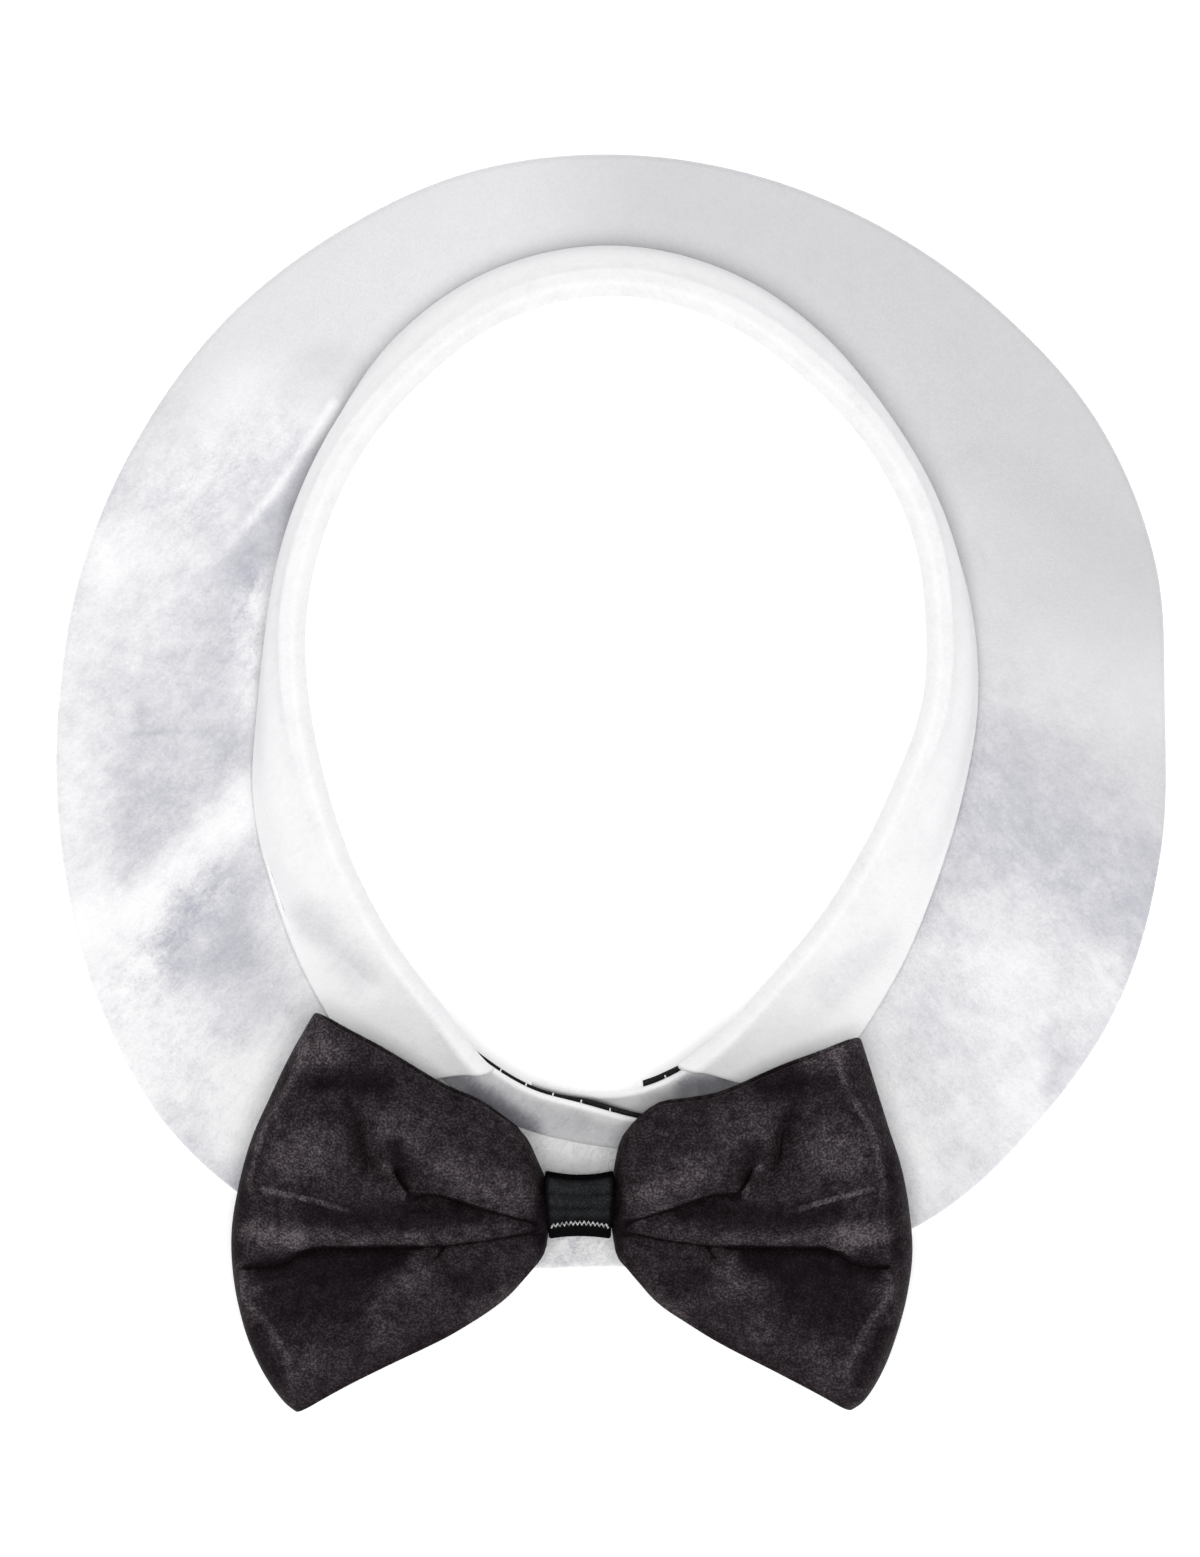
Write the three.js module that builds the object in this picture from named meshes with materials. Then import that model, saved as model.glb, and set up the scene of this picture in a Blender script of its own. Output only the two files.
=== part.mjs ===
// Bow tie collar: a white satin shirt collar on a wide flat yoke, with a black satin bow tie at the front.
// It lies flat on a table. Millimetres, +Z up from the table, +Y towards the back of the neck. The origin is
// the middle of the collar's footprint, on the table.
import * as THREE from 'three';

// Driving sizes
const NECK_MIDDLE = new THREE.Vector2(0.1, 13.9);
const YOKE_THICKNESS = 1.4;
const BAND_THICKNESS = 1.4;
const LEAF_THICKNESS = 1.3;
const FOLD_ROLL = 2.0;
const COLLAR_HEIGHT = { front: 12.1, back: 24.0 };
const LEAF_EDGE_HEIGHT = 3.6;
const BAND_ABOVE_YOKE = 0.95;
const BAND_INTO_ROLL = 0.2;
const BAND_HOLLOW = 0.5;

// Radii of the collar about NECK_MIDDLE. Angles run anticlockwise from +X.
// yoke: outer edge of the yoke. leaf: outer edge of the turned-down leaf. fold: top fold, round the neck.
const COLLAR_OUTLINE = [
  { angle: 0, yoke: 99.5, leaf: 65.8, fold: 55.4 },
  { angle: 15, yoke: 101.1, leaf: 66.9, fold: 58.1 },
  { angle: 30, yoke: 101.2, leaf: 68.5, fold: 61.8 },
  { angle: 45, yoke: 99.6, leaf: 71.4, fold: 64.8 },
  { angle: 60, yoke: 98.8, leaf: 76.5, fold: 67.8 },
  { angle: 75, yoke: 98.8, leaf: 80.7, fold: 71.4 },
  { angle: 90, yoke: 99.1, leaf: 82.6, fold: 73.1 },
  { angle: 105, yoke: 99.3, leaf: 81.2, fold: 71.4 },
  { angle: 120, yoke: 98.4, leaf: 76.9, fold: 67.2 },
  { angle: 135, yoke: 98.2, leaf: 70.8, fold: 63.4 },
  { angle: 150, yoke: 97.9, leaf: 66.6, fold: 59.7 },
  { angle: 165, yoke: 98.5, leaf: 63.9, fold: 56.7 },
  { angle: 180, yoke: 99.6, leaf: 63.8, fold: 54.1 },
  { angle: 195, yoke: 102.5, leaf: 67.0, fold: 53.1 },
  { angle: 210, yoke: 106.7, leaf: 70.2, fold: 54.2 },
  { angle: 225, yoke: 110.4, leaf: 75.0, fold: 57.0 },
  { angle: 240, yoke: 109.6, leaf: 80.5, fold: 61.6 },
  { angle: 255, yoke: 104.4, leaf: 81.5, fold: 69.8 },
  { angle: 270, yoke: 101.0, leaf: 80.5, fold: 70.2 },
  { angle: 285, yoke: 104.2, leaf: 79.5, fold: 63.3 },
  { angle: 300, yoke: 108.6, leaf: 77.0, fold: 56.5 },
  { angle: 315, yoke: 107.3, leaf: 71.4, fold: 53.1 },
  { angle: 330, yoke: 105.6, leaf: 67.0, fold: 51.7 },
  { angle: 345, yoke: 102.2, leaf: 65.3, fold: 52.4 },
];

// The two front ends of the neckband, which lap behind the bow: radius and height of the top edge, and the
// radius of the foot. The right end runs behind the left one, on the neck side of it.
const BAND_LEFT_END = [
  { angle: 228, top: 60.7, height: 10.4, foot: 66.5 },
  { angle: 240, top: 64.2, height: 9.2, foot: 71.5 },
  { angle: 250, top: 67.9, height: 8.5, foot: 75.4 },
  { angle: 258, top: 70.6, height: 9.9, foot: 77.6 },
  { angle: 266, top: 72.0, height: 10.4, foot: 78.8 },
  { angle: 274, top: 74.7, height: 8.0, foot: 80.2 },
  { angle: 281, top: 77.2, height: 6.8, foot: 82.4 },
];
const BAND_RIGHT_END = [
  { angle: -102, top: 69.2, height: 6.2, foot: 72.4 },
  { angle: -94, top: 69.9, height: 7.2, foot: 74.0 },
  { angle: -86, top: 69.2, height: 9.2, foot: 75.6 },
  { angle: -78, top: 66.4, height: 8.8, foot: 74.4 },
  { angle: -68, top: 61.4, height: 8.8, foot: 69.6 },
  { angle: -56, top: 57.4, height: 10.0, foot: 64.0 },
];
const BAND_ENDS_BLEND = { left: [228, 243], right: [-70, -56] };

// Hook-and-loop strips on the neck side of the band's front ends: their share of its height, from 0 at its
// foot to 1 at its top edge, and where each starts and stops.
const STRIP_ON_BAND = { low: 0.4, high: 1.08 };
const STRIP_THICKNESS = 0.9;
const STRIP_GAP = 0.49;
const STRIP_LEFT = { from: 244, to: 274.5 };
const STRIP_RIGHT = { from: -85.2, to: -68 };

// Where the leaf stops at the front: the angle of its front edge at the fold and at the point.
const LEAF_RIGHT_FRONT = { atFold: -79.6, atPoint: -67 };
const LEAF_LEFT_FRONT = { atFold: 252, atPoint: 241 };

// The yoke is cut at the front: its left end lies on its right end.
const YOKE_ENDS = { right: -103, left: 281 };
const YOKE_LAP = { lift: 1.85, from: 238, to: 254 };
const YOKE_UNDER_BAND = 1.6;

// Soft folds that lift the yoke: a ridge between two places, its reach to either side and its height.
const YOKE_FOLDS = [
  { name: 'left shoulder crease', from: [-51, 69], to: [-86, 24], reach: 11, height: 1.9 },
  { name: 'left side wave', from: [-68, 21], to: [-99, 5], reach: 12, height: 1.5 },
  { name: 'left front wave', from: [-64, -6], to: [-96, -24], reach: 13, height: 1.7 },
  { name: 'left front hem', from: [-66, -38], to: [-88, -56], reach: 11, height: 1.3 },
  { name: 'right shoulder wave', from: [66, 50], to: [96, 30], reach: 14, height: 1.3 },
  { name: 'right side wave', from: [68, 2], to: [99, -6], reach: 13, height: 1.5 },
  { name: 'right front wave', from: [64, -28], to: [92, -44], reach: 13, height: 1.8 },
  { name: 'right front hem', from: [58, -50], to: [70, -72], reach: 10, height: 1.2 },
];

// Bow: its own frame has its origin at the back of the waist, X along the bow and Z out of its face.
const BOW_PLACE = new THREE.Vector3(-5.3, -75.8, 7.5);
const BOW_TILT = THREE.MathUtils.degToRad(6.5);
const PLY = 1.5;
const END_ROLL = 2.8;
const WAIST = { right: 6.0, left: 6.7 };

// Outline of each wing by distance out from the middle of the waist: heights of its top and bottom edges, and
// how far the front ply stands off the back plane on the wing's middle line.
const WING_SECTIONS = [
  { out: 5.0, rightTop: 3.8, rightBottom: -3.2, leftTop: 3.8, leftBottom: -3.2, puff: 7.6 },
  { out: 6.0, rightTop: 4.2, rightBottom: -3.5, leftTop: 3.9, leftBottom: -3.3, puff: 7.8 },
  { out: 6.6, rightTop: 8.2, rightBottom: -8.4, leftTop: 4.3, leftBottom: -3.6, puff: 8.6 },
  { out: 7.2, rightTop: 10.9, rightBottom: -10.2, leftTop: 5.6, leftBottom: -8.2, puff: 9.1 },
  { out: 8.2, rightTop: 12.6, rightBottom: -11.4, leftTop: 8.0, leftBottom: -10.3, puff: 9.6 },
  { out: 10.6, rightTop: 15.3, rightBottom: -14.0, leftTop: 13.1, leftBottom: -13.0, puff: 10.6 },
  { out: 14.0, rightTop: 17.9, rightBottom: -17.6, leftTop: 16.1, leftBottom: -16.5, puff: 11.8 },
  { out: 18.5, rightTop: 18.9, rightBottom: -20.7, leftTop: 19.2, leftBottom: -19.8, puff: 13.0 },
  { out: 24.8, rightTop: 20.4, rightBottom: -24.6, leftTop: 22.0, leftBottom: -23.6, puff: 13.7 },
  { out: 35.6, rightTop: 24.6, rightBottom: -30.2, leftTop: 27.8, leftBottom: -28.9, puff: 13.4 },
  { out: 42.8, rightTop: 27.2, rightBottom: -34.0, leftTop: 31.6, leftBottom: -32.5, puff: 12.2 },
  { out: 50.0, rightTop: 29.8, rightBottom: -37.7, leftTop: 35.4, leftBottom: -36.5, puff: 10.4 },
  { out: 60.0, rightTop: 33.4, rightBottom: -43.4, leftTop: 40.6, leftBottom: -42.8, puff: 8.0 },
];

// How far out each wing reaches, by place across it: -1 is the bottom corner and 1 the top corner.
const WING_REACH = [
  { across: -1, right: 47.6, left: 50.6 },
  { across: -0.9, right: 50.2, left: 53.2 },
  { across: -0.7, right: 53.5, left: 57.1 },
  { across: -0.5, right: 55.9, left: 60.0 },
  { across: -0.3, right: 57.7, left: 61.8 },
  { across: -0.1, right: 58.6, left: 62.2 },
  { across: 0.1, right: 58.0, left: 60.9 },
  { across: 0.3, right: 56.6, left: 58.6 },
  { across: 0.5, right: 54.3, left: 55.3 },
  { across: 0.7, right: 52.2, left: 52.1 },
  { across: 0.9, right: 50.2, left: 48.8 },
  { across: 1, right: 49.2, left: 47.2 },
];

// The front ply is lower at its edges by this share of its puff, and front and back meet at this share of the
// depth in the outer turn. The folds fade in over the first distances out, and near the two edges.
const WING_EDGE_DROP = 0.38;
const WING_TURN_LEVEL = 0.42;
const WING_FOLDS_FADE = { from: 7, to: 12, edge: 0.8 };

// Folds of a wing's front ply, as the yoke's. Places are out and up from the waist, and a crease is negative.
// They are the left wing's, and those of the right wing lie nearer the knot by this share.
const RIGHT_FOLDS_OUT = 0.91;
const WING_FOLDS = [
  { name: 'upper pleat', from: [9, -1.2], to: [27, 2.4], reach: 5.2, height: -2.2 },
  { name: 'upper shoulder', from: [12, 8], to: [22, 10], reach: 8.5, height: 1.4 },
  { name: 'pleat dimple', from: [29, 3.5], to: [31, 7], reach: 6.4, height: -1.6 },
  { name: 'lower crease', from: [10, -6.4], to: [34, -8.6], reach: 5.0, height: -1.8 },
  { name: 'lower crease end', from: [36, -8.6], to: [49.5, -9.9], reach: 5.6, height: -1.7 },
  { name: 'middle ridge', from: [35, -2.0], to: [50, 0.6], reach: 6.1, height: 1.2 },
  { name: 'upper bulge', from: [26, 13.5], to: [33, 14.5], reach: 8.5, height: 1.5 },
  { name: 'outer valley', from: [40, 19], to: [38.5, 10], reach: 5.6, height: -1.4 },
  { name: 'outer bulge', from: [45, 12], to: [50, 13], reach: 7.8, height: 1.1 },
  { name: 'lower bulge', from: [27, -13], to: [35, -23], reach: 7.5, height: 1.4 },
  { name: 'lower hollow', from: [43, -17], to: [49, -18], reach: 9.4, height: -1.9 },
];

// Knot: the section of the wrap in the bow's frame. top, lip and low are heights up the bow, back, shoulder
// and face are depths out of it. Between lip and low the wrap slopes back from the face to the shoulder.
const KNOT = { top: 6.2, lip: -3.6, low: -6.2, back: -1.5, shoulder: 3.2, face: 10.6 };
const KNOT_WRAP = { left: -5.8, right: 5.1, wall: 1.0, backCorner: 1.2, faceCorner: 1.8 };
const KNOT_RIBS = { count: 3, depth: 0.25 };

const TACK_PAD = { length: 8, height: 7, thickness: 1.3, middle: 4.4 };

const SATIN_WHITE = { color: 0xf2f2f5, roughness: 0.42, metalness: 0 };
const SATIN_BLACK = { color: 0x1d1a1c, roughness: 0.38, metalness: 0 };
const TAPE_BLACK = { color: 0x141415, roughness: 0.85, metalness: 0 };

const radians = THREE.MathUtils.degToRad;
const mix = THREE.MathUtils.lerp;
const smooth = (low, high, x) => THREE.MathUtils.smoothstep(x, low, high);
const evenly = (count) => Array.from({ length: count + 1 }, (_, i) => i / count);

// A smooth function through one column of a table, by Hermite pieces with the slopes of the neighbours. A
// period makes it go round; otherwise it stays level beyond the first and the last row.
function through(rows, by, column, period = 0) {
  const count = rows.length;
  const knotAt = (index) => {
    if (period) {
      const turns = Math.floor(index / count);
      const row = rows[index - turns * count];
      return [row[by] + turns * period, row[column]];
    }
    const row = rows[Math.min(Math.max(index, 0), count - 1)];
    return [row[by], row[column]];
  };
  const slope = (a, b) => (b[0] === a[0] ? 0 : (b[1] - a[1]) / (b[0] - a[0]));
  return (value) => {
    const x = period ? THREE.MathUtils.euclideanModulo(value - rows[0][by], period) + rows[0][by] : value;
    const last = count - (period ? 1 : 2);
    let index = 0;
    while (index < last && x > knotAt(index + 1)[0]) index += 1;
    const [before, start, end, after] = [-1, 0, 1, 2].map((step) => knotAt(index + step));
    const span = end[0] - start[0];
    const t = THREE.MathUtils.clamp((x - start[0]) / span, 0, 1);
    const rise = [slope(before, end) * span, slope(start, after) * span];
    const blend = t * t * (3 - 2 * t);
    return mix(start[1], end[1], blend) + rise[0] * t * (1 - t) ** 2 - rise[1] * t * t * (1 - t);
  };
}

// The height that folds give to a place: each is a smooth bell across its own line, level past its reach.
function foldHeight(folds, x, y) {
  const place = new THREE.Vector3(x, y, 0);
  const nearest = new THREE.Vector3();
  let height = 0;
  for (const fold of folds) {
    const line = new THREE.Line3(new THREE.Vector3(...fold.from, 0), new THREE.Vector3(...fold.to, 0));
    const away = line.closestPointToPoint(place, true, nearest).distanceTo(place) / fold.reach;
    height += fold.height * Math.max(1 - away ** 2, 0) ** 2;
  }
  return height;
}

// A wall of cloth, half of its thickness to each side of its middle surface place(u, v). The lists us and vs
// say where it is cut, and a closed wall goes round from the last v to the first. Each four-sided face is
// split on its shorter diagonal.
function clothWall(us, vs, place, thickness, closed = false) {
  const step = 1e-3;
  const points = [1, -1].flatMap((side) => us.flatMap((u) => vs.map((v) => {
    const along = place(u + step, v).sub(place(u - step, v));
    const across = place(u, v + step).sub(place(u, v - step));
    return place(u, v).addScaledVector(along.cross(across).normalize(), side * thickness * 0.5);
  })));
  const triangles = [];
  const quad = (a, b, c, d) => {
    const isAcross = points[a].distanceTo(points[c]) <= points[b].distanceTo(points[d]);
    triangles.push(...(isAcross ? [[a, b, c], [a, c, d]] : [[a, b, d], [b, c, d]]));
  };
  const [nu, nv] = [us.length, vs.length];
  const front = (i, j) => i * nv + (j % nv);
  const back = (i, j) => nu * nv + front(i, j);
  for (let j = 0; j < nv - (closed ? 0 : 1); j += 1) {
    for (let i = 0; i < nu - 1; i += 1) {
      quad(front(i, j), front(i + 1, j), front(i + 1, j + 1), front(i, j + 1));
      quad(back(i, j), back(i, j + 1), back(i + 1, j + 1), back(i + 1, j));
    }
    quad(front(0, j), front(0, j + 1), back(0, j + 1), back(0, j));
    quad(front(nu - 1, j), back(nu - 1, j), back(nu - 1, j + 1), front(nu - 1, j + 1));
  }
  for (let i = 0; i < nu - 1 && !closed; i += 1) {
    quad(front(i, 0), back(i, 0), back(i + 1, 0), front(i + 1, 0));
    quad(front(i, nv - 1), front(i + 1, nv - 1), back(i + 1, nv - 1), back(i, nv - 1));
  }
  const signedVolume = ([a, b, c]) => points[a].dot(points[b].clone().cross(points[c]));
  const volume = triangles.reduce((sum, face) => sum + signedVolume(face), 0);
  if (volume < 0) triangles.forEach((face) => face.reverse());
  const geometry = new THREE.BufferGeometry();
  geometry.setAttribute('position', new THREE.Float32BufferAttribute(points.flatMap((p) => p.toArray()), 3));
  geometry.setIndex(triangles.flat());
  geometry.computeVertexNormals();
  return geometry;
}

// A place on the collar, from an angle in degrees, a radius and a height.
function collarPlace(angle, radius, z) {
  const a = radians(angle);
  return new THREE.Vector3(NECK_MIDDLE.x + radius * Math.cos(a), NECK_MIDDLE.y + radius * Math.sin(a), z);
}

const yokeRadius = through(COLLAR_OUTLINE, 'angle', 'yoke', 360);
const leafRadius = through(COLLAR_OUTLINE, 'angle', 'leaf', 360);
const foldRadius = through(COLLAR_OUTLINE, 'angle', 'fold', 360);
const bandEnds = { left: {}, right: {} };
for (const column of ['top', 'height', 'foot']) {
  bandEnds.left[column] = through(BAND_LEFT_END, 'angle', column);
  bandEnds.right[column] = through(BAND_RIGHT_END, 'angle', column);
}
const yokeLap = (angle) => YOKE_LAP.lift * smooth(YOKE_LAP.from, YOKE_LAP.to, angle);

// The roll of the fold at an angle: the radius and height of its middle. The collar stands lowest in front.
function rollMiddle(angle) {
  const crown = mix(COLLAR_HEIGHT.front, COLLAR_HEIGHT.back, (1 + Math.sin(radians(angle))) / 2);
  return {
    radius: foldRadius(angle) + LEAF_THICKNESS / 2 + FOLD_ROLL,
    height: crown - LEAF_THICKNESS / 2 - FOLD_ROLL,
  };
}

// Top edge and foot of the neckband at an angle. Its top is inside the roll, and its foot half-way under the
// leaf, except at the two front ends.
function bandStation(angle) {
  const roll = rollMiddle(angle);
  const around = {
    top: roll.radius,
    height: roll.height + BAND_INTO_ROLL,
    foot: mix(foldRadius(angle), leafRadius(angle), 0.5),
  };
  const left = smooth(...BAND_ENDS_BLEND.left, angle);
  const right = 1 - smooth(...BAND_ENDS_BLEND.right, angle);
  const end = left > 0 ? bandEnds.left : bandEnds.right;
  const blended = (column) => mix(around[column], end[column](angle), Math.max(left, right));
  return { top: blended('top'), height: blended('height'), foot: blended('foot') };
}

// Middle surface of the neckband at an angle, from its foot, 0, to its top edge, 1.
function bandPlace(angle, share) {
  const station = bandStation(angle);
  const footHeight = YOKE_THICKNESS + BAND_ABOVE_YOKE + yokeLap(angle);
  const radius = mix(station.foot, station.top, share) - BAND_HOLLOW * Math.sin(Math.PI * share);
  return collarPlace(angle, radius, mix(footHeight, station.height, share));
}

// The yoke is a flat ring of satin. Its underside lies on the table where no fold lifts it.
function yoke() {
  const levelShare = 0.25;
  const place = (u, v) => {
    const angle = mix(YOKE_ENDS.right, YOKE_ENDS.left, u);
    const inner = bandStation(angle).foot - YOKE_UNDER_BAND;
    const radius = mix(inner, yokeRadius(angle), v);
    const flat = collarPlace(angle, radius, YOKE_THICKNESS / 2 + yokeLap(angle));
    flat.z += smooth(0, levelShare, v) * foldHeight(YOKE_FOLDS, flat.x, flat.y);
    return flat;
  };
  return clothWall(evenly(76), evenly(6), place, YOKE_THICKNESS);
}

// The neckband stands on the yoke's inner edge and leans in towards the neck.
function neckband() {
  const [start, end] = [BAND_RIGHT_END[0].angle, BAND_LEFT_END.at(-1).angle];
  return clothWall(evenly(72), evenly(3), (u, v) => bandPlace(mix(start, end, u), v), BAND_THICKNESS);
}

// The leaf rolls over the top of the neckband, and leaves the roll straight down to its free edge.
function leaf() {
  const rollShare = 0.32;
  const belly = 0.9;
  const place = (u, v) => {
    const toPoint = smooth(0, 1, v);
    const start = mix(LEAF_RIGHT_FRONT.atFold, LEAF_RIGHT_FRONT.atPoint, toPoint);
    const end = mix(LEAF_LEFT_FRONT.atFold, LEAF_LEFT_FRONT.atPoint, toPoint);
    const angle = mix(start, end, u);
    const roll = rollMiddle(angle);
    const edgeRadius = leafRadius(angle) - LEAF_THICKNESS / 3;
    const toEdge = new THREE.Vector2(edgeRadius - roll.radius, LEAF_EDGE_HEIGHT - roll.height);
    const rollEnd = Math.atan2(toEdge.y, toEdge.x) + Math.acos(FOLD_ROLL / toEdge.length());
    const turn = mix(Math.PI, rollEnd, Math.min(v / rollShare, 1));
    const radius = roll.radius + FOLD_ROLL * Math.cos(turn);
    const height = roll.height + FOLD_ROLL * Math.sin(turn);
    const fall = Math.max((v - rollShare) / (1 - rollShare), 0);
    const bulge = belly * Math.sin(Math.PI * fall) ** 2;
    return collarPlace(angle, mix(radius, edgeRadius, fall) + bulge, mix(height, LEAF_EDGE_HEIGHT, fall));
  };
  const rolled = evenly(4).map((t) => t * rollShare);
  const falling = evenly(4).slice(1).map((t) => mix(rollShare, 1, t));
  return clothWall(evenly(64), [...rolled, ...falling], place, LEAF_THICKNESS);
}

// A closure strip lies against the neck side of the band, from just over its top edge downwards.
function closureStrip(strip, cuts) {
  const offset = (BAND_THICKNESS + STRIP_THICKNESS) / 2 + STRIP_GAP;
  const nearby = { angle: 0.5, share: 0.05 };
  const place = (u, v) => {
    const angle = mix(strip.from, strip.to, u);
    const share = mix(STRIP_ON_BAND.low, STRIP_ON_BAND.high, v);
    const round = bandPlace(angle + nearby.angle, share).sub(bandPlace(angle - nearby.angle, share));
    const up = bandPlace(angle, share + nearby.share).sub(bandPlace(angle, share - nearby.share));
    return bandPlace(angle, share).addScaledVector(up.cross(round).normalize(), offset);
  };
  return clothWall(evenly(cuts), evenly(2), place, STRIP_THICKNESS);
}

const wingPuff = through(WING_SECTIONS, 'out', 'puff');

function wing(name, side, foldsOut) {
  return {
    side,
    foldsOut,
    waist: WAIST[name],
    top: through(WING_SECTIONS, 'out', `${name}Top`),
    bottom: through(WING_SECTIONS, 'out', `${name}Bottom`),
    reach: through(WING_REACH, 'across', name),
  };
}
const rightWing = wing('right', 1, RIGHT_FOLDS_OUT);
const leftWing = wing('left', -1, 1);

// Middle surface of a wing's ply, front or back, from the waist, 0, to the outer turn, 1, and from the bottom
// edge, -1, to the top edge. The front bulges and creases, the back is flat, and half an ellipse joins them.
function wingPlace({ side, foldsOut, waist, top, bottom, reach }, isFront, share, across) {
  const end = reach(across);
  const out = mix(waist, end, share * (2 - share));
  const up = mix(bottom(out), top(out), (across + 1) / 2);
  const crown = 1 - WING_EDGE_DROP * Math.abs(across) ** 3;
  const { from, to, edge } = WING_FOLDS_FADE;
  const still = smooth(from, to, out) * (1 - smooth(edge, 1, Math.abs(across)));
  const front = wingPuff(out) * crown + still * foldHeight(WING_FOLDS, out / foldsOut, up) - PLY / 2;
  const level = mix(PLY / 2, front, WING_TURN_LEVEL);
  const beforeTurn = Math.min((end - out) / END_ROLL, 1);
  const turned = Math.sqrt(1 - (1 - beforeTurn) ** 2);
  return new THREE.Vector3(side * out, up, mix(level, isFront ? front : PLY / 2, turned));
}

// The bow is one band of satin: round goes along the right wing's back and front, over the waist, along the
// left wing's front and back and under the waist, a whole number at each turn.
function bowPlace(across, round) {
  const stretch = THREE.MathUtils.euclideanModulo(Math.floor(round), 6);
  const share = round - Math.floor(round);
  if (stretch === 0) return wingPlace(rightWing, false, share, across);
  if (stretch === 1) return wingPlace(rightWing, true, 1 - share, across);
  if (stretch === 3) return wingPlace(leftWing, true, share, across);
  if (stretch === 4) return wingPlace(leftWing, false, 1 - share, across);
  const right = wingPlace(rightWing, stretch === 2, 0, across);
  const left = wingPlace(leftWing, stretch === 2, 0, across);
  return stretch === 2 ? right.lerp(left, share) : left.lerp(right, share);
}

function bow() {
  const shares = [0, 0.015, 0.04, 0.075, 0.12, 0.17, 0.23, 0.3, 0.38, 0.46, 0.55, 0.65, 0.76, 0.88];
  const outwards = [0, 3].flatMap((stretch) => shares.map((share) => stretch + share));
  const inwards = [2, 5].flatMap((stretch) => shares.map((share) => stretch - share));
  const turns = [1, 4];
  const rounds = [...outwards, ...inwards, ...turns].sort((a, b) => a - b);
  return clothWall(evenly(18).map((t) => mix(-1, 1, t)), rounds, bowPlace, PLY, true);
}

// The knot is a ribbed band wrapped round the waist, one wall thick.
function knot() {
  const { top, lip, low, back, shoulder, face } = KNOT;
  const { left, right, wall, backCorner, faceCorner } = KNOT_WRAP;
  const length = right - left;
  const slope = (lip - low) / (face - shoulder);
  const outside = new THREE.Shape();
  outside.moveTo(low, back);
  outside.lineTo(top - backCorner, back);
  outside.quadraticCurveTo(top, back, top, back + backCorner);
  outside.lineTo(top, face - faceCorner);
  outside.quadraticCurveTo(top, face, top - faceCorner, face);
  const ribWidth = (top - faceCorner - lip) / KNOT_RIBS.count;
  for (let rib = 1; rib <= KNOT_RIBS.count; rib += 1) {
    const end = top - faceCorner - rib * ribWidth;
    outside.quadraticCurveTo(end + ribWidth / 2, face + 2 * KNOT_RIBS.depth, end, face);
  }
  outside.lineTo(low, shoulder);
  const hollow = new THREE.Path();
  hollow.moveTo(low + wall, back + wall);
  hollow.lineTo(top - wall, back + wall);
  hollow.lineTo(top - wall, face - faceCorner);
  hollow.lineTo(top - faceCorner, face - wall);
  hollow.lineTo(lip, face - wall);
  hollow.lineTo(low + wall * (1 + slope / 2), shoulder);
  outside.holes.push(hollow);
  const geometry = new THREE.ExtrudeGeometry(outside, { depth: length, bevelEnabled: false, curveSegments: 4 });
  const axes = [new THREE.Vector3(0, 1, 0), new THREE.Vector3(0, 0, 1), new THREE.Vector3(1, 0, 0)];
  return geometry.applyMatrix4(new THREE.Matrix4().makeBasis(...axes)).translate(left, 0, 0);
}

function named(name, geometry, look) {
  const mesh = new THREE.Mesh(geometry, new THREE.MeshStandardMaterial(look));
  mesh.name = name;
  return mesh;
}

const collar = new THREE.Group();
collar.add(named('yoke', yoke(), SATIN_WHITE));
collar.add(named('neckband', neckband(), SATIN_WHITE));
collar.add(named('collar_leaf', leaf(), SATIN_WHITE));
collar.add(named('closure_strip_left', closureStrip(STRIP_LEFT, 16), TAPE_BLACK));
collar.add(named('closure_strip_right', closureStrip(STRIP_RIGHT, 8), TAPE_BLACK));

const bowTie = new THREE.Group();
bowTie.position.copy(BOW_PLACE);
bowTie.rotation.x = BOW_TILT;
bowTie.add(named('bow', bow(), SATIN_BLACK));
bowTie.add(named('knot', knot(), SATIN_BLACK));

// The bow is tacked to the yoke through a plain pad under its knot.
const tack = new THREE.BoxGeometry(TACK_PAD.length, TACK_PAD.height, TACK_PAD.thickness);
const pad = named('bow_tack_pad', tack, TAPE_BLACK);
pad.position.set(BOW_PLACE.x, BOW_PLACE.y, TACK_PAD.middle);
collar.add(bowTie, pad);

export default collar;
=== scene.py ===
# A bow tie collar: a detachable shirt collar of white satin on a wide flat yoke, closed in front with
# hook-and-loop tape, and a black satin bow tie over the closure. Metres, and millimetres for folds, in the
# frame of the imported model: +Z up from the table, +Y towards the back of the neck. Angles are degrees about
# the neck, from +X to +Y.
import math

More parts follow.
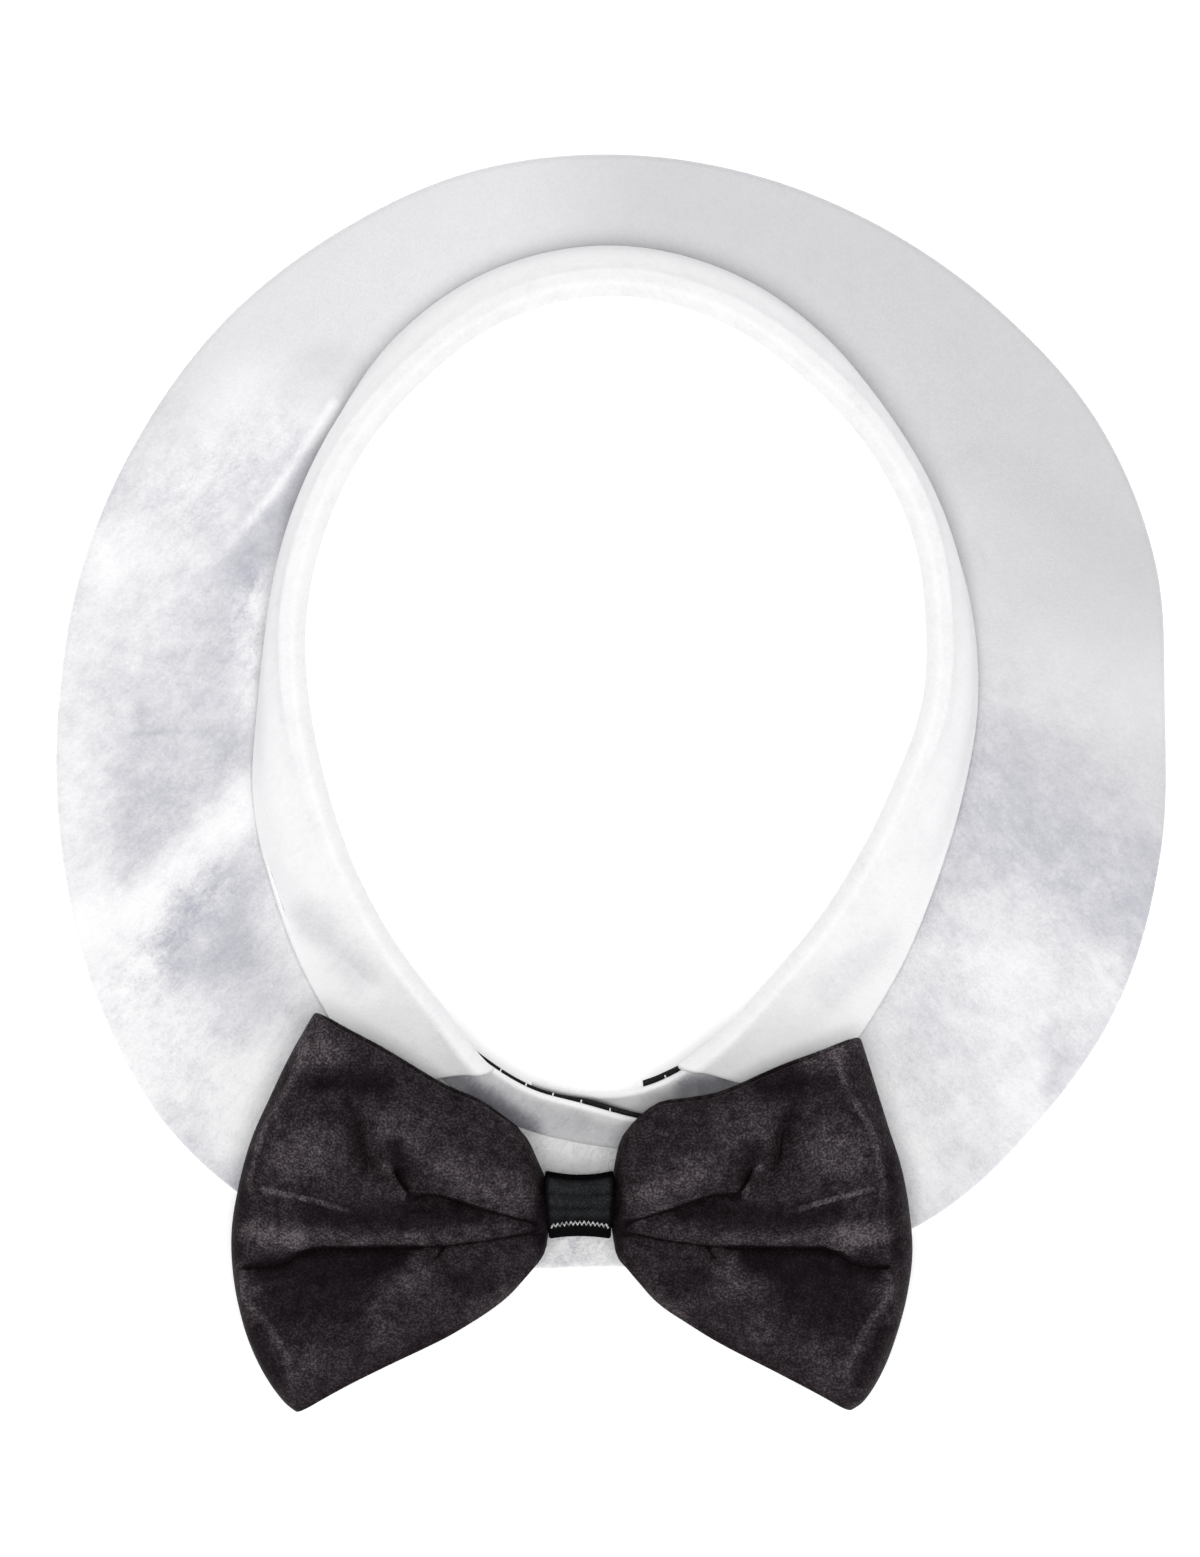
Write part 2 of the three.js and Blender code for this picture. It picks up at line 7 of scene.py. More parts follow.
import bpy
import numpy as np
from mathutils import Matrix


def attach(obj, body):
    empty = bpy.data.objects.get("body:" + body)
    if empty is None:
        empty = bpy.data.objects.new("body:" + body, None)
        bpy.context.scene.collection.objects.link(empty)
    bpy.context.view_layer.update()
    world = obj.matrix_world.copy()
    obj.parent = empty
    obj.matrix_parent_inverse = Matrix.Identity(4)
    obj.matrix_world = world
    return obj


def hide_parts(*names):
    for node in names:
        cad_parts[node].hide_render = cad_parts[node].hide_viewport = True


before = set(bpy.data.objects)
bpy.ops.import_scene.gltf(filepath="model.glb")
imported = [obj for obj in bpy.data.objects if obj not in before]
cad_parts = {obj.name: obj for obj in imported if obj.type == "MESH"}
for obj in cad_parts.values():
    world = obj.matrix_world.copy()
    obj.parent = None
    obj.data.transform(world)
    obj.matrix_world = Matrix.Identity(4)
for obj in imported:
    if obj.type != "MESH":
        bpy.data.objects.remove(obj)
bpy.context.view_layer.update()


# Neckband. The stand of the collar: a strip of white satin folded over a stiff interlining, which leans in
# towards the neck. Its foot is sewn to the yoke. Its front ends lap behind the bow, the left one outside.

NECK_MIDDLE = (0.0001, 0.0139)
YOKE_THICKNESS = 0.0014
YOKE_LAP = {"lift": 0.00185, "from": 238, "to": 254}
BAND_THICKNESS = 0.0014
BAND_ABOVE_YOKE = 0.00095
BAND_INTO_ROLL = 0.0002
BAND_HOLLOW = 0.0005
LEAF_THICKNESS = 0.0013
FOLD_ROLL = 0.0020
COLLAR_HEIGHT = {"front": 0.0121, "back": 0.0240}
# Painted shade and painted light of white satin, and the bluer painted shade of crushed satin.
WHITE_IN_SHADE = (0.430, 0.430, 0.455, 1)
WHITE_IN_LIGHT = (0.880, 0.880, 0.888, 1)
CRUSHED_IN_SHADE = (0.420, 0.420, 0.484, 1)
WHITE_SIZES = {"thread": 0.00036, "grain": 0.0006, "clouds": 0.0052}
WHITE_CREASES = {"along": 0.0034, "across": 0.0013, "turn": math.radians(-47)}
WHITE_BROKEN_BY = {"clouds": 1.7, "creases": 0.9, "lines": 0.22, "grain": 0.7}


def table(columns, *rows):
    """A table with named columns, as one array for each name."""
    return dict(zip(columns.split(), np.array(rows, float).T))


# Radii about NECK_MIDDLE: outer edge of the yoke, free edge of the leaf, and the top fold of the collar.
COLLAR = table(
    "angle yoke leaf fold",
    (0, .0995, .0658, .0554), (15, .1011, .0669, .0581), (30, .1012, .0685, .0618),
    (45, .0996, .0714, .0648), (60, .0988, .0765, .0678), (75, .0988, .0807, .0714),
    (90, .0991, .0826, .0731), (105, .0993, .0812, .0714), (120, .0984, .0769, .0672),
    (135, .0982, .0708, .0634), (150, .0979, .0666, .0597), (165, .0985, .0639, .0567),
    (180, .0996, .0638, .0541), (195, .1025, .0670, .0531), (210, .1067, .0702, .0542),
    (225, .1104, .0750, .0570), (240, .1096, .0805, .0616), (255, .1044, .0815, .0698),
    (270, .1010, .0805, .0702), (285, .1042, .0795, .0633), (300, .1086, .0770, .0565),
    (315, .1073, .0714, .0531), (330, .1056, .0670, .0517), (345, .1022, .0653, .0524),
)
BAND_LEFT_END = table(
    "angle top height foot",
    (228, .0607, .0104, .0665), (240, .0642, .0092, .0715), (250, .0679, .0085, .0754),
    (258, .0706, .0099, .0776), (266, .0720, .0104, .0788), (274, .0747, .0080, .0802),
    (281, .0772, .0068, .0824),
)
BAND_RIGHT_END = table(
    "angle top height foot",
    (-102, .0692, .0062, .0724), (-94, .0699, .0072, .0740), (-86, .0692, .0092, .0756),
    (-78, .0664, .0088, .0744), (-68, .0614, .0088, .0696), (-56, .0574, .0100, .0640),
)
BAND_ENDS_BLEND = {"left": (228, 243), "right": (-70, -56)}


def mix(a, b, share):
    return a + (b - a) * share


def smooth(low, high, x):
    """0 below low, 1 above high, and an S-shaped rise between them."""
    t = np.clip((x - low) / (high - low), 0, 1)
    return t * t * (3 - 2 * t)


def through(rows, by, column, value, period=0):
    """A smooth curve through a table's column: Hermite pieces, with the slope at a row taken from its two
    neighbours. A period makes it go round, otherwise it is level beyond its ends."""
    xs, ys = rows[by], rows[column]
    if period:
        value = (value - xs[0]) % period + xs[0]
        xs = np.concatenate([xs[-1:] - period, xs, xs[:2] + period])
        ys = np.concatenate([ys[-1:], ys, ys[:2]])
    last = len(xs) - 1
    before = np.maximum(np.arange(last + 1) - 1, 0)
    after = np.minimum(np.arange(last + 1) + 1, last)
    slopes = (ys[after] - ys[before]) / (xs[after] - xs[before])
    i = np.clip(np.searchsorted(xs, value, side="right") - 1, 0, last - 1)
    span = xs[i + 1] - xs[i]
    t = np.clip((value - xs[i]) / span, 0, 1)
    bend = (slopes[i] * t * (1 - t) ** 2 - slopes[i + 1] * t * t * (1 - t)) * span
    return mix(ys[i], ys[i + 1], t * t * (3 - 2 * t)) + bend


def collar_radius(column, angle):
    """The radius in one of COLLAR's columns at an angle."""
    return through(COLLAR, "angle", column, angle, 360)


def collar_place(angle, radius, z):
    """The place at an angle and a radius about the middle of the neck, at a height."""
    a = np.radians(angle)
    x = NECK_MIDDLE[0] + radius * np.cos(a)
    y = NECK_MIDDLE[1] + radius * np.sin(a)
    return np.stack(np.broadcast_arrays(x, y, z), axis=-1)


def yoke_lap(angle):
    """How far the yoke's left end stands up, because it lies on the right end."""
    return YOKE_LAP["lift"] * smooth(YOKE_LAP["from"], YOKE_LAP["to"], angle)


def roll_middle(angle):
    """Radius and height of the middle of the collar's top fold, which stands lowest at the front."""
    crown = mix(COLLAR_HEIGHT["front"], COLLAR_HEIGHT["back"], (1 + np.sin(np.radians(angle))) / 2)
    radius = collar_radius("fold", angle) + LEAF_THICKNESS / 2 + FOLD_ROLL
    return radius, crown - LEAF_THICKNESS / 2 - FOLD_ROLL


def band_station(angle):
    """Radius and height of the band's top edge and radius of its foot. The top is inside the collar's fold
    and the foot half-way under the leaf, except at the two front ends, which follow their own tables."""
    roll_radius, roll_height = roll_middle(angle)
    foot = (collar_radius("fold", angle) + collar_radius("leaf", angle)) / 2
    around = {"top": roll_radius, "height": roll_height + BAND_INTO_ROLL, "foot": foot}
    left = smooth(*BAND_ENDS_BLEND["left"], angle)
    right = 1 - smooth(*BAND_ENDS_BLEND["right"], angle)
    station = {}
    for column, value in around.items():
        left_end = through(BAND_LEFT_END, "angle", column, angle)
        right_end = through(BAND_RIGHT_END, "angle", column, angle)
        station[column] = mix(value, np.where(left > 0, left_end, right_end), np.maximum(left, right))
    return station


def band_surface(angle, share):
    """Middle surface of the band: straight from its foot, 0, to its top edge, 1, less a shallow hollow."""
    station = band_station(angle)
    foot_height = YOKE_THICKNESS + BAND_ABOVE_YOKE + yoke_lap(angle)
    radius = mix(station["foot"], station["top"], share) - BAND_HOLLOW * np.sin(np.pi * share)
    return collar_place(angle, radius, mix(foot_height, station["height"], share))


# Folds are drawn in millimetres. PLEAT_EDGE is how wide the step is that a pleat's lip makes.
MM = 0.001
PLEAT_EDGE = 0.4


def fold(reach, height, *path, keen=0.0, lip=0.0, fade=0.0):
    """A fold along a path of places, as a function that gives its height at places x, y: a bell that reaches
    so far to either side of the path, or a sharp cusp as keen nears 1. lip lifts the left side of the path
    over the right one, as a pleat does. fade is the last share of the path, where the fold dies out."""
    moves = np.diff(np.array(path), axis=0)
    lengths = np.hypot(*moves.T)

    def height_at(x, y):
        best, side, along = np.full(x.shape, np.inf), np.zeros(x.shape), np.zeros(x.shape)
        for k, (dx, dy) in enumerate(moves):
            t = np.clip(((x - path[k][0]) * dx + (y - path[k][1]) * dy) / lengths[k] ** 2, 0, 1)
            ex, ey = x - path[k][0] - t * dx, y - path[k][1] - t * dy
            away = np.hypot(ex, ey)
            nearer = away < best
            best = np.where(nearer, away, best)
            side = np.where(nearer, (dx * ey - dy * ex) / lengths[k], side)
            along = np.where(nearer, (lengths[:k].sum() + t * lengths[k]) / lengths.sum(), along)
        d = np.clip(best / reach, 0, 1)
        live = 1 - smooth(1 - fade, 1, along) if fade else 1.0
        bell = mix((1 - d * d) ** 2, (1 - d) ** 2, keen)
        return live * (height * bell + lip * np.tanh(side / PLEAT_EDGE) * (1 - d) ** 2)

    return height_at


def relief(folds, places):
    """The sum of a list of folds at places, which are in metres."""
    x, y = places[..., 0] / MM, places[..., 1] / MM
    return sum(height_at(x, y) for height_at in folds)


# Painted sheen and painted shade on the band: how white it is painted from its foot, 0, to its top edge, 1,
# with a painted highlight along the top edge. Then patches where it is painted greyer or whiter, the grey
# ones painted shade under the leaf's front ends and beside the bow, written as folds whose height is a change
# of tone.
BAND_TONE = table("share tone", (0, .76), (.15, .68), (.50, .64), (.80, .74), (.94, .98), (1, 1.0))
BAND_PATCHES = [
    fold(3.6, -.45, (-29, -52), (-25.5, -54.5)),
    fold(4.4, -.55, (-22.5, -57), (-15, -62.5)),
    fold(3.6, -.45, (13, -54), (20, -53.5)),
    fold(3.4, .45, (-2, -58), (8, -58.5)),
]
BAND_IN_SHADE = (0.195, 0.193, 0.225, 1)
BAND_MOTTLE = 0.22


def steps(count, rim):
    """Even steps from 0 to 1. Within the rim share at both ends, four steps grow from the border inwards,
    where the cloth's edge is rounded."""
    start = rim * (np.arange(4) / 4) ** 2
    return np.concatenate([start, np.linspace(rim, 1 - rim, count), 1 - start[::-1]])


def grid(along, across):
    return np.meshgrid(along, across, indexing="ij")


def quads(index):
    """The faces between neighbours in a grid of place numbers."""
    return np.stack([index[:-1, :-1], index[1:, :-1], index[1:, 1:], index[:-1, 1:]], axis=-1).reshape(-1, 4)


def unit(vectors):
    """Vectors of length one in the same directions."""
    return vectors / np.maximum(np.linalg.norm(vectors, axis=-1, keepdims=True), 1e-12)


def run(places, axis=0):
    """How far each place lies from the first one, along the row of places in an axis."""
    lengths = np.linalg.norm(np.diff(places, axis=axis), axis=-1)
    return np.insert(np.cumsum(lengths, axis=axis), 0, 0, axis=axis)


def shell(name, places, thickness, attributes=None, closed=False):
    """A closed wall of cloth from a grid of places on its middle surface. A place moves half of the thickness
    to both sides along the normal, the cross product of the grid's two directions. Along the grid's borders
    the wall thins to nothing as a quarter circle does, so the edge is round. closed joins the second
    direction end to end. The UV map is the distance along the cloth in both directions."""
    wrapped = np.concatenate([places[:, -1:], places, places[:, :1]], axis=1) if closed else places
    across = np.gradient(wrapped, axis=1)[:, 1:-1] if closed else np.gradient(places, axis=1)
    normals = unit(np.cross(np.gradient(places, axis=0), across))
    rows, columns = places.shape[:2]
    far_u, far_v = run(places, 0), run(places, 1)
    to_rim = np.minimum(far_u, far_u[-1] - far_u)
    if not closed:
        to_rim = np.minimum(to_rim, np.minimum(far_v, far_v[:, -1:] - far_v))
    half = thickness / 2 * np.sqrt(1 - (1 - np.clip(to_rim / (thickness / 2), 0, 1)) ** 2)
    inside = (slice(1, -1), slice(None) if closed else slice(1, -1))
    front = places + normals * half[..., None]
    back = (places - normals * half[..., None])[inside]
    front_index = np.arange(rows * columns).reshape(rows, columns)
    back_index = front_index.copy()
    back_index[inside] = rows * columns + np.arange(back[..., 0].size).reshape(back.shape[:2])
    if closed:
        front_index, back_index = (np.hstack([index, index[:, :1]]) for index in (front_index, back_index))
    points = np.concatenate([front.reshape(-1, 3), back.reshape(-1, 3)])
    flat = np.stack([far_u.mean(axis=1)[:, None] + 0 * far_v, far_v], axis=-1)
    flat = np.concatenate([flat.reshape(-1, 2), flat[inside].reshape(-1, 2)])
    extra = {key: np.concatenate([value.ravel(), value[inside].ravel()])
             for key, value in (attributes or {}).items()}
    return piece(name, points, [quads(front_index), quads(back_index)[:, ::-1]], flat, extra)


def piece(name, points, faces, flat=None, attributes=None):
    """A smooth-shaded mesh object from places, blocks of faces, a UV place and attributes for each place."""
    mesh = bpy.data.meshes.new(name)
    mesh.from_pydata(points.tolist(), [], [face for block in faces for face in block.tolist()])
    mesh.polygons.foreach_set("use_smooth", np.ones(len(mesh.polygons), bool))
    if flat is not None:
        corners = np.zeros(len(mesh.loops), np.int32)
        mesh.loops.foreach_get("vertex_index", corners)
        layer = mesh.uv_layers.new(name="cloth")
        layer.data.foreach_set("uv", flat[corners].astype(np.float32).ravel())
    for key, values in (attributes or {}).items():
        layer = mesh.attributes.new(key, "FLOAT", "POINT")
        layer.data.foreach_set("value", values.astype(np.float32))
    mesh.update()
    thing = bpy.data.objects.new(name, mesh)
    bpy.context.scene.collection.objects.link(thing)
    return thing


class Wire:
    """An output socket. Arithmetic on it, with numbers or other wires, adds Math nodes."""

    def __init__(self, paint, socket):
        self.paint, self.socket = paint, socket

    def math(self, operation, first, second):
        return self.paint.node("Math", {"operation": operation}, {0: first, 1: second})

    def __add__(self, other):
        return self.math("ADD", self, other)

    def __radd__(self, other):
        return self.math("ADD", other, self)

    def __sub__(self, other):
        return self.math("SUBTRACT", self, other)

    def __rsub__(self, other):
        return self.math("SUBTRACT", other, self)

    def __mul__(self, other):
        return self.math("MULTIPLY", self, other)

    def __rmul__(self, other):
        return self.math("MULTIPLY", other, self)


class Paint:
    """A material with a Principled shader. Values that are the same all over are set on its own sockets."""

    def __init__(self, name, **fixed):
        self.material = bpy.data.materials.new(name)
        self.material.use_nodes = True
        self.tree = self.material.node_tree
        self.shader = next(n for n in self.tree.nodes if n.type == "BSDF_PRINCIPLED")
        for key, value in fixed.items():
            self.shader.inputs[key.replace("_", " ")].default_value = value

    def feed(self, socket, value):
        if isinstance(value, Wire):
            self.tree.links.new(value.socket, socket)
        else:
            socket.default_value = value

    def node(self, kind, settings=None, inputs=None, output=0):
        """A new node of a kind, with its settings and then the values or wires of its inputs."""
        made = self.tree.nodes.new("ShaderNode" + kind)
        for key, value in (settings or {}).items():
            setattr(made, key, value)
        for key, value in (inputs or {}).items():
            self.feed(made.inputs[key], value)
        return Wire(self, made.outputs[output])

    def place(self):
        return self.node("TexCoord", output="Object")

    def mirrored(self):
        """Object coordinates folded at the middle, so that slants go outwards and down on both sides."""
        place = self.place()
        x, y = (self.node("SeparateXYZ", None, {"Vector": place}, output=axis) for axis in "XY")
        return self.node("CombineXYZ", None, {"X": self.size_of(x), "Y": y, "Z": x * 0.3})

    def size_of(self, value):
        return self.node("Math", {"operation": "ABSOLUTE"}, {0: value})

    def along_cloth(self):
        return self.node("UVMap", {"uv_map": "cloth"})

    def attribute(self, name):
        return self.node("Attribute", {"attribute_name": name}, output="Fac")

    def noise(self, place, size, detail=3.0, roughness=0.55):
        """Noise about 0.5, whose largest features are about size across."""
        inputs = {"Vector": place, "Scale": 1 / size, "Detail": detail, "Roughness": roughness}
        return self.node("TexNoise", None, inputs)

    def streaks(self, place, along, across, turn):
        """Noise about 0.5 whose features are longer along a direction, turned by an angle, than across it."""
        inputs = {"Vector": place, "Rotation": (0, 0, turn), "Scale": (along, across, along)}
        turned = self.node("Mapping", {"vector_type": "TEXTURE"}, inputs)
        return self.node("TexNoise", None, {"Vector": turned, "Scale": 1.0, "Detail": 3.0, "Roughness": 0.6})

    def threads(self, place, spacing, turn):
        """Ridges of parallel threads, from 0 to 1, at a spacing and turned by an angle."""
        turned = self.node("Mapping", None, {"Vector": place, "Rotation": (0, 0, turn)})
        inputs = {"Vector": turned, "Scale": math.pi / 10 / spacing}
        return self.node("TexWave", {"wave_profile": "SIN"}, inputs)

    def ramp(self, value, low, high, start=0.0, end=1.0):
        """start where the value is below low, end above high, and an S-shaped change between them."""
        inputs = {"Value": value, "From Min": low, "From Max": high, "To Min": start, "To Max": end}
        return self.node("MapRange", {"interpolation_type": "SMOOTHSTEP"}, inputs)

    def blend(self, first, second, share):
        return self.node("Mix", {"data_type": "RGBA"}, {0: share, 6: first, 7: second}, output=2)

    def colour(self, value):
        self.feed(self.shader.inputs["Base Color"], value)

    def roughness(self, value):
        self.feed(self.shader.inputs["Roughness"], value)

    def bump(self, height, depth):
        raised = self.node("Bump", None, {"Height": height, "Distance": depth})
        self.feed(self.shader.inputs["Normal"], raised)

    def dress(self, thing):
        thing.data.materials.clear()
        thing.data.materials.append(self.material)


def white_satin(name, mottle=None, shade=WHITE_IN_SHADE):
    """White satin: close threads, a fine grain and a soft gloss. tone is painted light and shade: it goes
    from 0, the painted grey that the weave shows away from the light, to 1, painted white sheen, and mottle
    is how far small creases break it up, in the painted sheen and in the bumps. Both are read from the
    piece's attributes of those names, unless one mottle is given for the whole piece. Where a piece has its
    own mottle, its painted shade turns bluer with it."""
    paint = Paint(name, Specular_IOR_Level=0.35, Sheen_Weight=0.08, Sheen_Roughness=0.4)
    tone = paint.attribute("tone")
    if mottle is None:
        mottle = paint.attribute("mottle")
        shade = paint.blend(shade, CRUSHED_IN_SHADE, paint.ramp(mottle, 0.04, 0.50))
    place, woven = paint.place(), paint.along_cloth()
    grain = paint.noise(place, WHITE_SIZES["grain"])
    clouds = paint.noise(place, WHITE_SIZES["clouds"], detail=5, roughness=0.65)
    creases = paint.streaks(paint.mirrored(), **WHITE_CREASES)
    lines = paint.ramp(paint.size_of(creases - 0.5), 0.0, 0.03, 1.0, 0.0)
    by = WHITE_BROKEN_BY
    broken = (clouds - 0.5) * by["clouds"] + (creases - 0.5) * by["creases"]
    broken = (broken + (lines - 0.2) * by["lines"] + (grain - 0.5) * by["grain"]) * mottle
    share = paint.ramp(tone + broken + (grain - 0.5) * 0.12, -0.05, 1.05)
    # The colour is painted shade and painted sheen, blended by share.
    paint.colour(paint.blend(shade, WHITE_IN_LIGHT, share))
    paint.roughness(0.52 - share * 0.10 + (grain - 0.5) * 0.12)
    warp = paint.threads(woven, WHITE_SIZES["thread"], 0.0)
    weft = paint.threads(woven, WHITE_SIZES["thread"], math.pi / 2)
    paint.bump(warp * 0.12 + weft * 0.08 + grain * 0.5 + broken * 2.0, 0.00008)
    return paint


def sew(thing, slot, *nodes):
    """What every sewn piece says: it rides on the one body, and the named CAD parts are hidden. slot is not
    used.
    """
    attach(thing, "root")
    if nodes:
        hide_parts(*nodes)


u, v = grid(steps(460, 0.0015), steps(22, 0.05))
band_places = band_surface(mix(BAND_RIGHT_END["angle"][0], BAND_LEFT_END["angle"][-1], u), v)
band_tone = through(BAND_TONE, "share", "tone", v) + relief(BAND_PATCHES, band_places)
neckband = shell("neckband_satin", band_places, BAND_THICKNESS, {"tone": band_tone})
white_satin("neckband_white", BAND_MOTTLE, BAND_IN_SHADE).dress(neckband)
sew(neckband, "white_satin", "neckband")


# Yoke. The flat ring that lies round the shoulders: two plies of white satin sewn round the edge and turned
# right side out, so the edge is round. It is cut at the front, and its left end lies on its right end.

YOKE_ENDS = {"right": -103, "left": 281}
YOKE_UNDER_BAND = 0.0016
YOKE_LEVEL_SHARE = 0.25

# Paths that two of the tables below share. Then soft folds that lift the cloth, and sharper creases.
LONG_CREASE = [(-50, 68), (-61, 51.9), (-72.5, 38.8)]
SIDE_CREASE = [(-78, 9.5), (-92, 7.8)]
UNDER_KNOT = [(-15, -65), (6, -68)]
FRONT_HEM = [(-11, -84), (2, -84)]
YOKE_FOLDS = [
    fold(11, 1.9, (-51, 69), (-86, 24)),
    fold(12, 1.5, (-68, 21), (-99, 5)),
    fold(13, 1.7, (-64, -6), (-96, -24)),
    fold(11, 1.3, (-66, -38), (-88, -56)),
    fold(14, 1.3, (66, 50), (96, 30)),
    fold(13, 1.5, (68, 2), (99, -6)),
    fold(13, 1.8, (64, -28), (92, -44)),
    fold(10, 1.2, (58, -50), (70, -72)),
]
YOKE_CREASES = [
    fold(3, .3, *LONG_CREASE, keen=.6, fade=.3),
    fold(2.2, -.3, *SIDE_CREASE, keen=.8, fade=.3),
    fold(5, .3, (-66, 2), (-84, -4), (-98, -3), keen=.3, fade=.3),
    fold(4.5, -.3, (-66, -18), (-80, -34), (-94, -28), keen=.3, fade=.3),
    fold(2.2, .4, (49.2, 67.2), (56.1, 60.2), keen=.8, fade=.5),
    fold(1.8, .3, (57.5, 70.7), (58.8, 60.2), keen=.8, fade=.5),
    fold(1.6, .3, (65, 59), (67.2, 55.2), keen=.8, fade=.4),
    fold(1.6, .3, (66.5, 43.7), (69.2, 38.1), keen=.8, fade=.4),
    fold(4, -.3, (80, -43), (80.5, -56), keen=.5, fade=.4),
]

# Painted sheen and painted shade: where the satin is painted whiter or greyer than YOKE_TONE, as its sheen
# catches the light or shade falls beside the leaf and the bow, with painted light under the knot against the
# bow's shadow. The height of a fold is a change of tone here.
YOKE_TONE = 0.45
YOKE_PATCHES = [
    fold(40, -.1, (95, 45), (60, 88), (12, 100)),
    fold(30, .1, (-20, 103), (-66, 78)),
    fold(18, .22, (-64, 64), (-82, 44)),
    fold(6.8, -.24, (-54, 58), (-61, 47), (-66, 38.5)),
    fold(1.4, .36, *LONG_CREASE, keen=.5, fade=.3),
    fold(5, .12, (-63, 34), (-62, 23)),
    fold(9, -.05, (-64, 16.3), (-89, -4.6)),
    fold(1.2, -.2, *SIDE_CREASE, keen=.8, fade=.3),
    fold(7, -.24, (-65, 8), (-67, -2)),
    fold(14, .13, (-84, 40), (-84, 26)),
    fold(16, .26, (-96, 38), (-100, 4), (-98, -20)),
    fold(6.5, .42, (-65.4, -1.7), (-74, -11), (-84, -23)),
    fold(7, -.19, (-63.5, -13), (-68, -25)),
    fold(6.5, -.2, (-76, -24), (-80, -32.5), (-68, -32)),
    fold(17, .42, (-92, -30), (-84, -48), (-66, -56)),
    fold(8, .2, (-60, -46), (-69, -64)),
    fold(6, -.1, (-73.5, -76), (-67, -73)),
    fold(16, .07, (82, 20), (98, 14)),
    fold(18, -.16, (68, -1), (84, -10), (99, -22)),
    fold(20, .32, (70, -33), (74, -46), (76, -62)),
    fold(6.5, .25, (88, -32), (90, -38)),
    fold(4.5, -.2, (80, -45), (80, -57)),
    fold(6, .2, (56, -30), (48, -44), (44, -52)),
    fold(9, .34, (49, -56), (59, -72)),
    fold(8, .17, (54.5, -48), (61, -60)),
    fold(12, .66, *UNDER_KNOT),
    fold(8, .5, *FRONT_HEM),
]

# How crushed the satin is at the back and in front of a border that slants with the distance across. Then
# where it is crushed more than that, with a fold's height as the mottle it adds. Mottle breaks up the painted
# sheen and turns the painted shade bluer.
YOKE_MOTTLE = {"back": 0.04, "front": 0.36}
YOKE_BORDER = {"from": 0.080, "to": 0.030, "right_slant": 0.6, "left_slant": 0.1}
YOKE_CRUSHED = [
    fold(12, 1.0, *UNDER_KNOT),
    fold(9, 1.0, *FRONT_HEM),
    fold(18, .22, (-84, -44), (-70, -58)),
    fold(7, .45, (-64, 34), (-63, 23)),
    fold(11, .25, (-62, 62), (-76, 52)),
    fold(8, .35, (-74, -18), (-85, -33)),
]

# Painted light beside the leaf's edge: the yoke is painted whiter there than its patches say, against the
# shade that the leaf throws on it. Past both borders, one across the neck and one along it, that is the left
# share, and elsewhere the right one.
YOKE_BY_LEAF = {"reach": 0.0075, "right": 0.04, "left": 0.30}
YOKE_LEFT_BORDERS = {"across": (0.020, -0.030), "along": (0.050, 0.030)}


def yoke_surface(u, v):
    """Angle from the right end to the left one by u, radius from the band's foot to the outer edge by v. The
    height is half of the thickness, the lap of the ends and the folds, which start away from the neck."""
    angle = mix(YOKE_ENDS["right"], YOKE_ENDS["left"], u)
    inner = band_station(angle)["foot"] - YOKE_UNDER_BAND
    radius = mix(inner, collar_radius("yoke", angle), v)
    places = collar_place(angle, radius, YOKE_THICKNESS / 2 + yoke_lap(angle))
    lift = MM * relief(YOKE_FOLDS + YOKE_CREASES, places)
    places[..., 2] += smooth(0, YOKE_LEVEL_SHARE, v) * np.maximum(lift, 0)
    return places


def painted_light_by_leaf(places):
    """How much whiter the yoke is painted near the leaf's free edge, against the leaf's shade, by the
    distance from it.
    """
    x, y = places[..., 0] - NECK_MIDDLE[0], places[..., 1] - NECK_MIDDLE[1]
    beyond = np.hypot(x, y) - collar_radius("leaf", np.degrees(np.arctan2(y, x)))
    on_left = smooth(*YOKE_LEFT_BORDERS["across"], x) * smooth(*YOKE_LEFT_BORDERS["along"], places[..., 1])
    most = mix(YOKE_BY_LEAF["right"], YOKE_BY_LEAF["left"], on_left)
    return most * (1 - smooth(0, YOKE_BY_LEAF["reach"], beyond))


u, v = grid(steps(640, 0.0012), steps(50, 0.02))
yoke_places = yoke_surface(u, v)
yoke_x, yoke_y = yoke_places[..., 0], yoke_places[..., 1]
slant = np.where(yoke_x > 0, YOKE_BORDER["right_slant"], YOKE_BORDER["left_slant"])
in_front = smooth(YOKE_BORDER["from"], YOKE_BORDER["to"], yoke_y + slant * yoke_x)
yoke_tone = YOKE_TONE + relief(YOKE_PATCHES, yoke_places) + painted_light_by_leaf(yoke_places)
yoke_mottle = mix(YOKE_MOTTLE["back"], YOKE_MOTTLE["front"], in_front) + relief(YOKE_CRUSHED, yoke_places)
yoke = shell("yoke_satin", yoke_places, YOKE_THICKNESS, {"tone": yoke_tone, "mottle": yoke_mottle})
white_satin("yoke_white").dress(yoke)
sew(yoke, "white_satin", "yoke")


# Leaf. The collar's fall: a narrow turned-down strip of the same satin, rolled over the top of the neckband
# and falling outwards to a free edge. Its two front edges slope back to blunt points beside the bow.

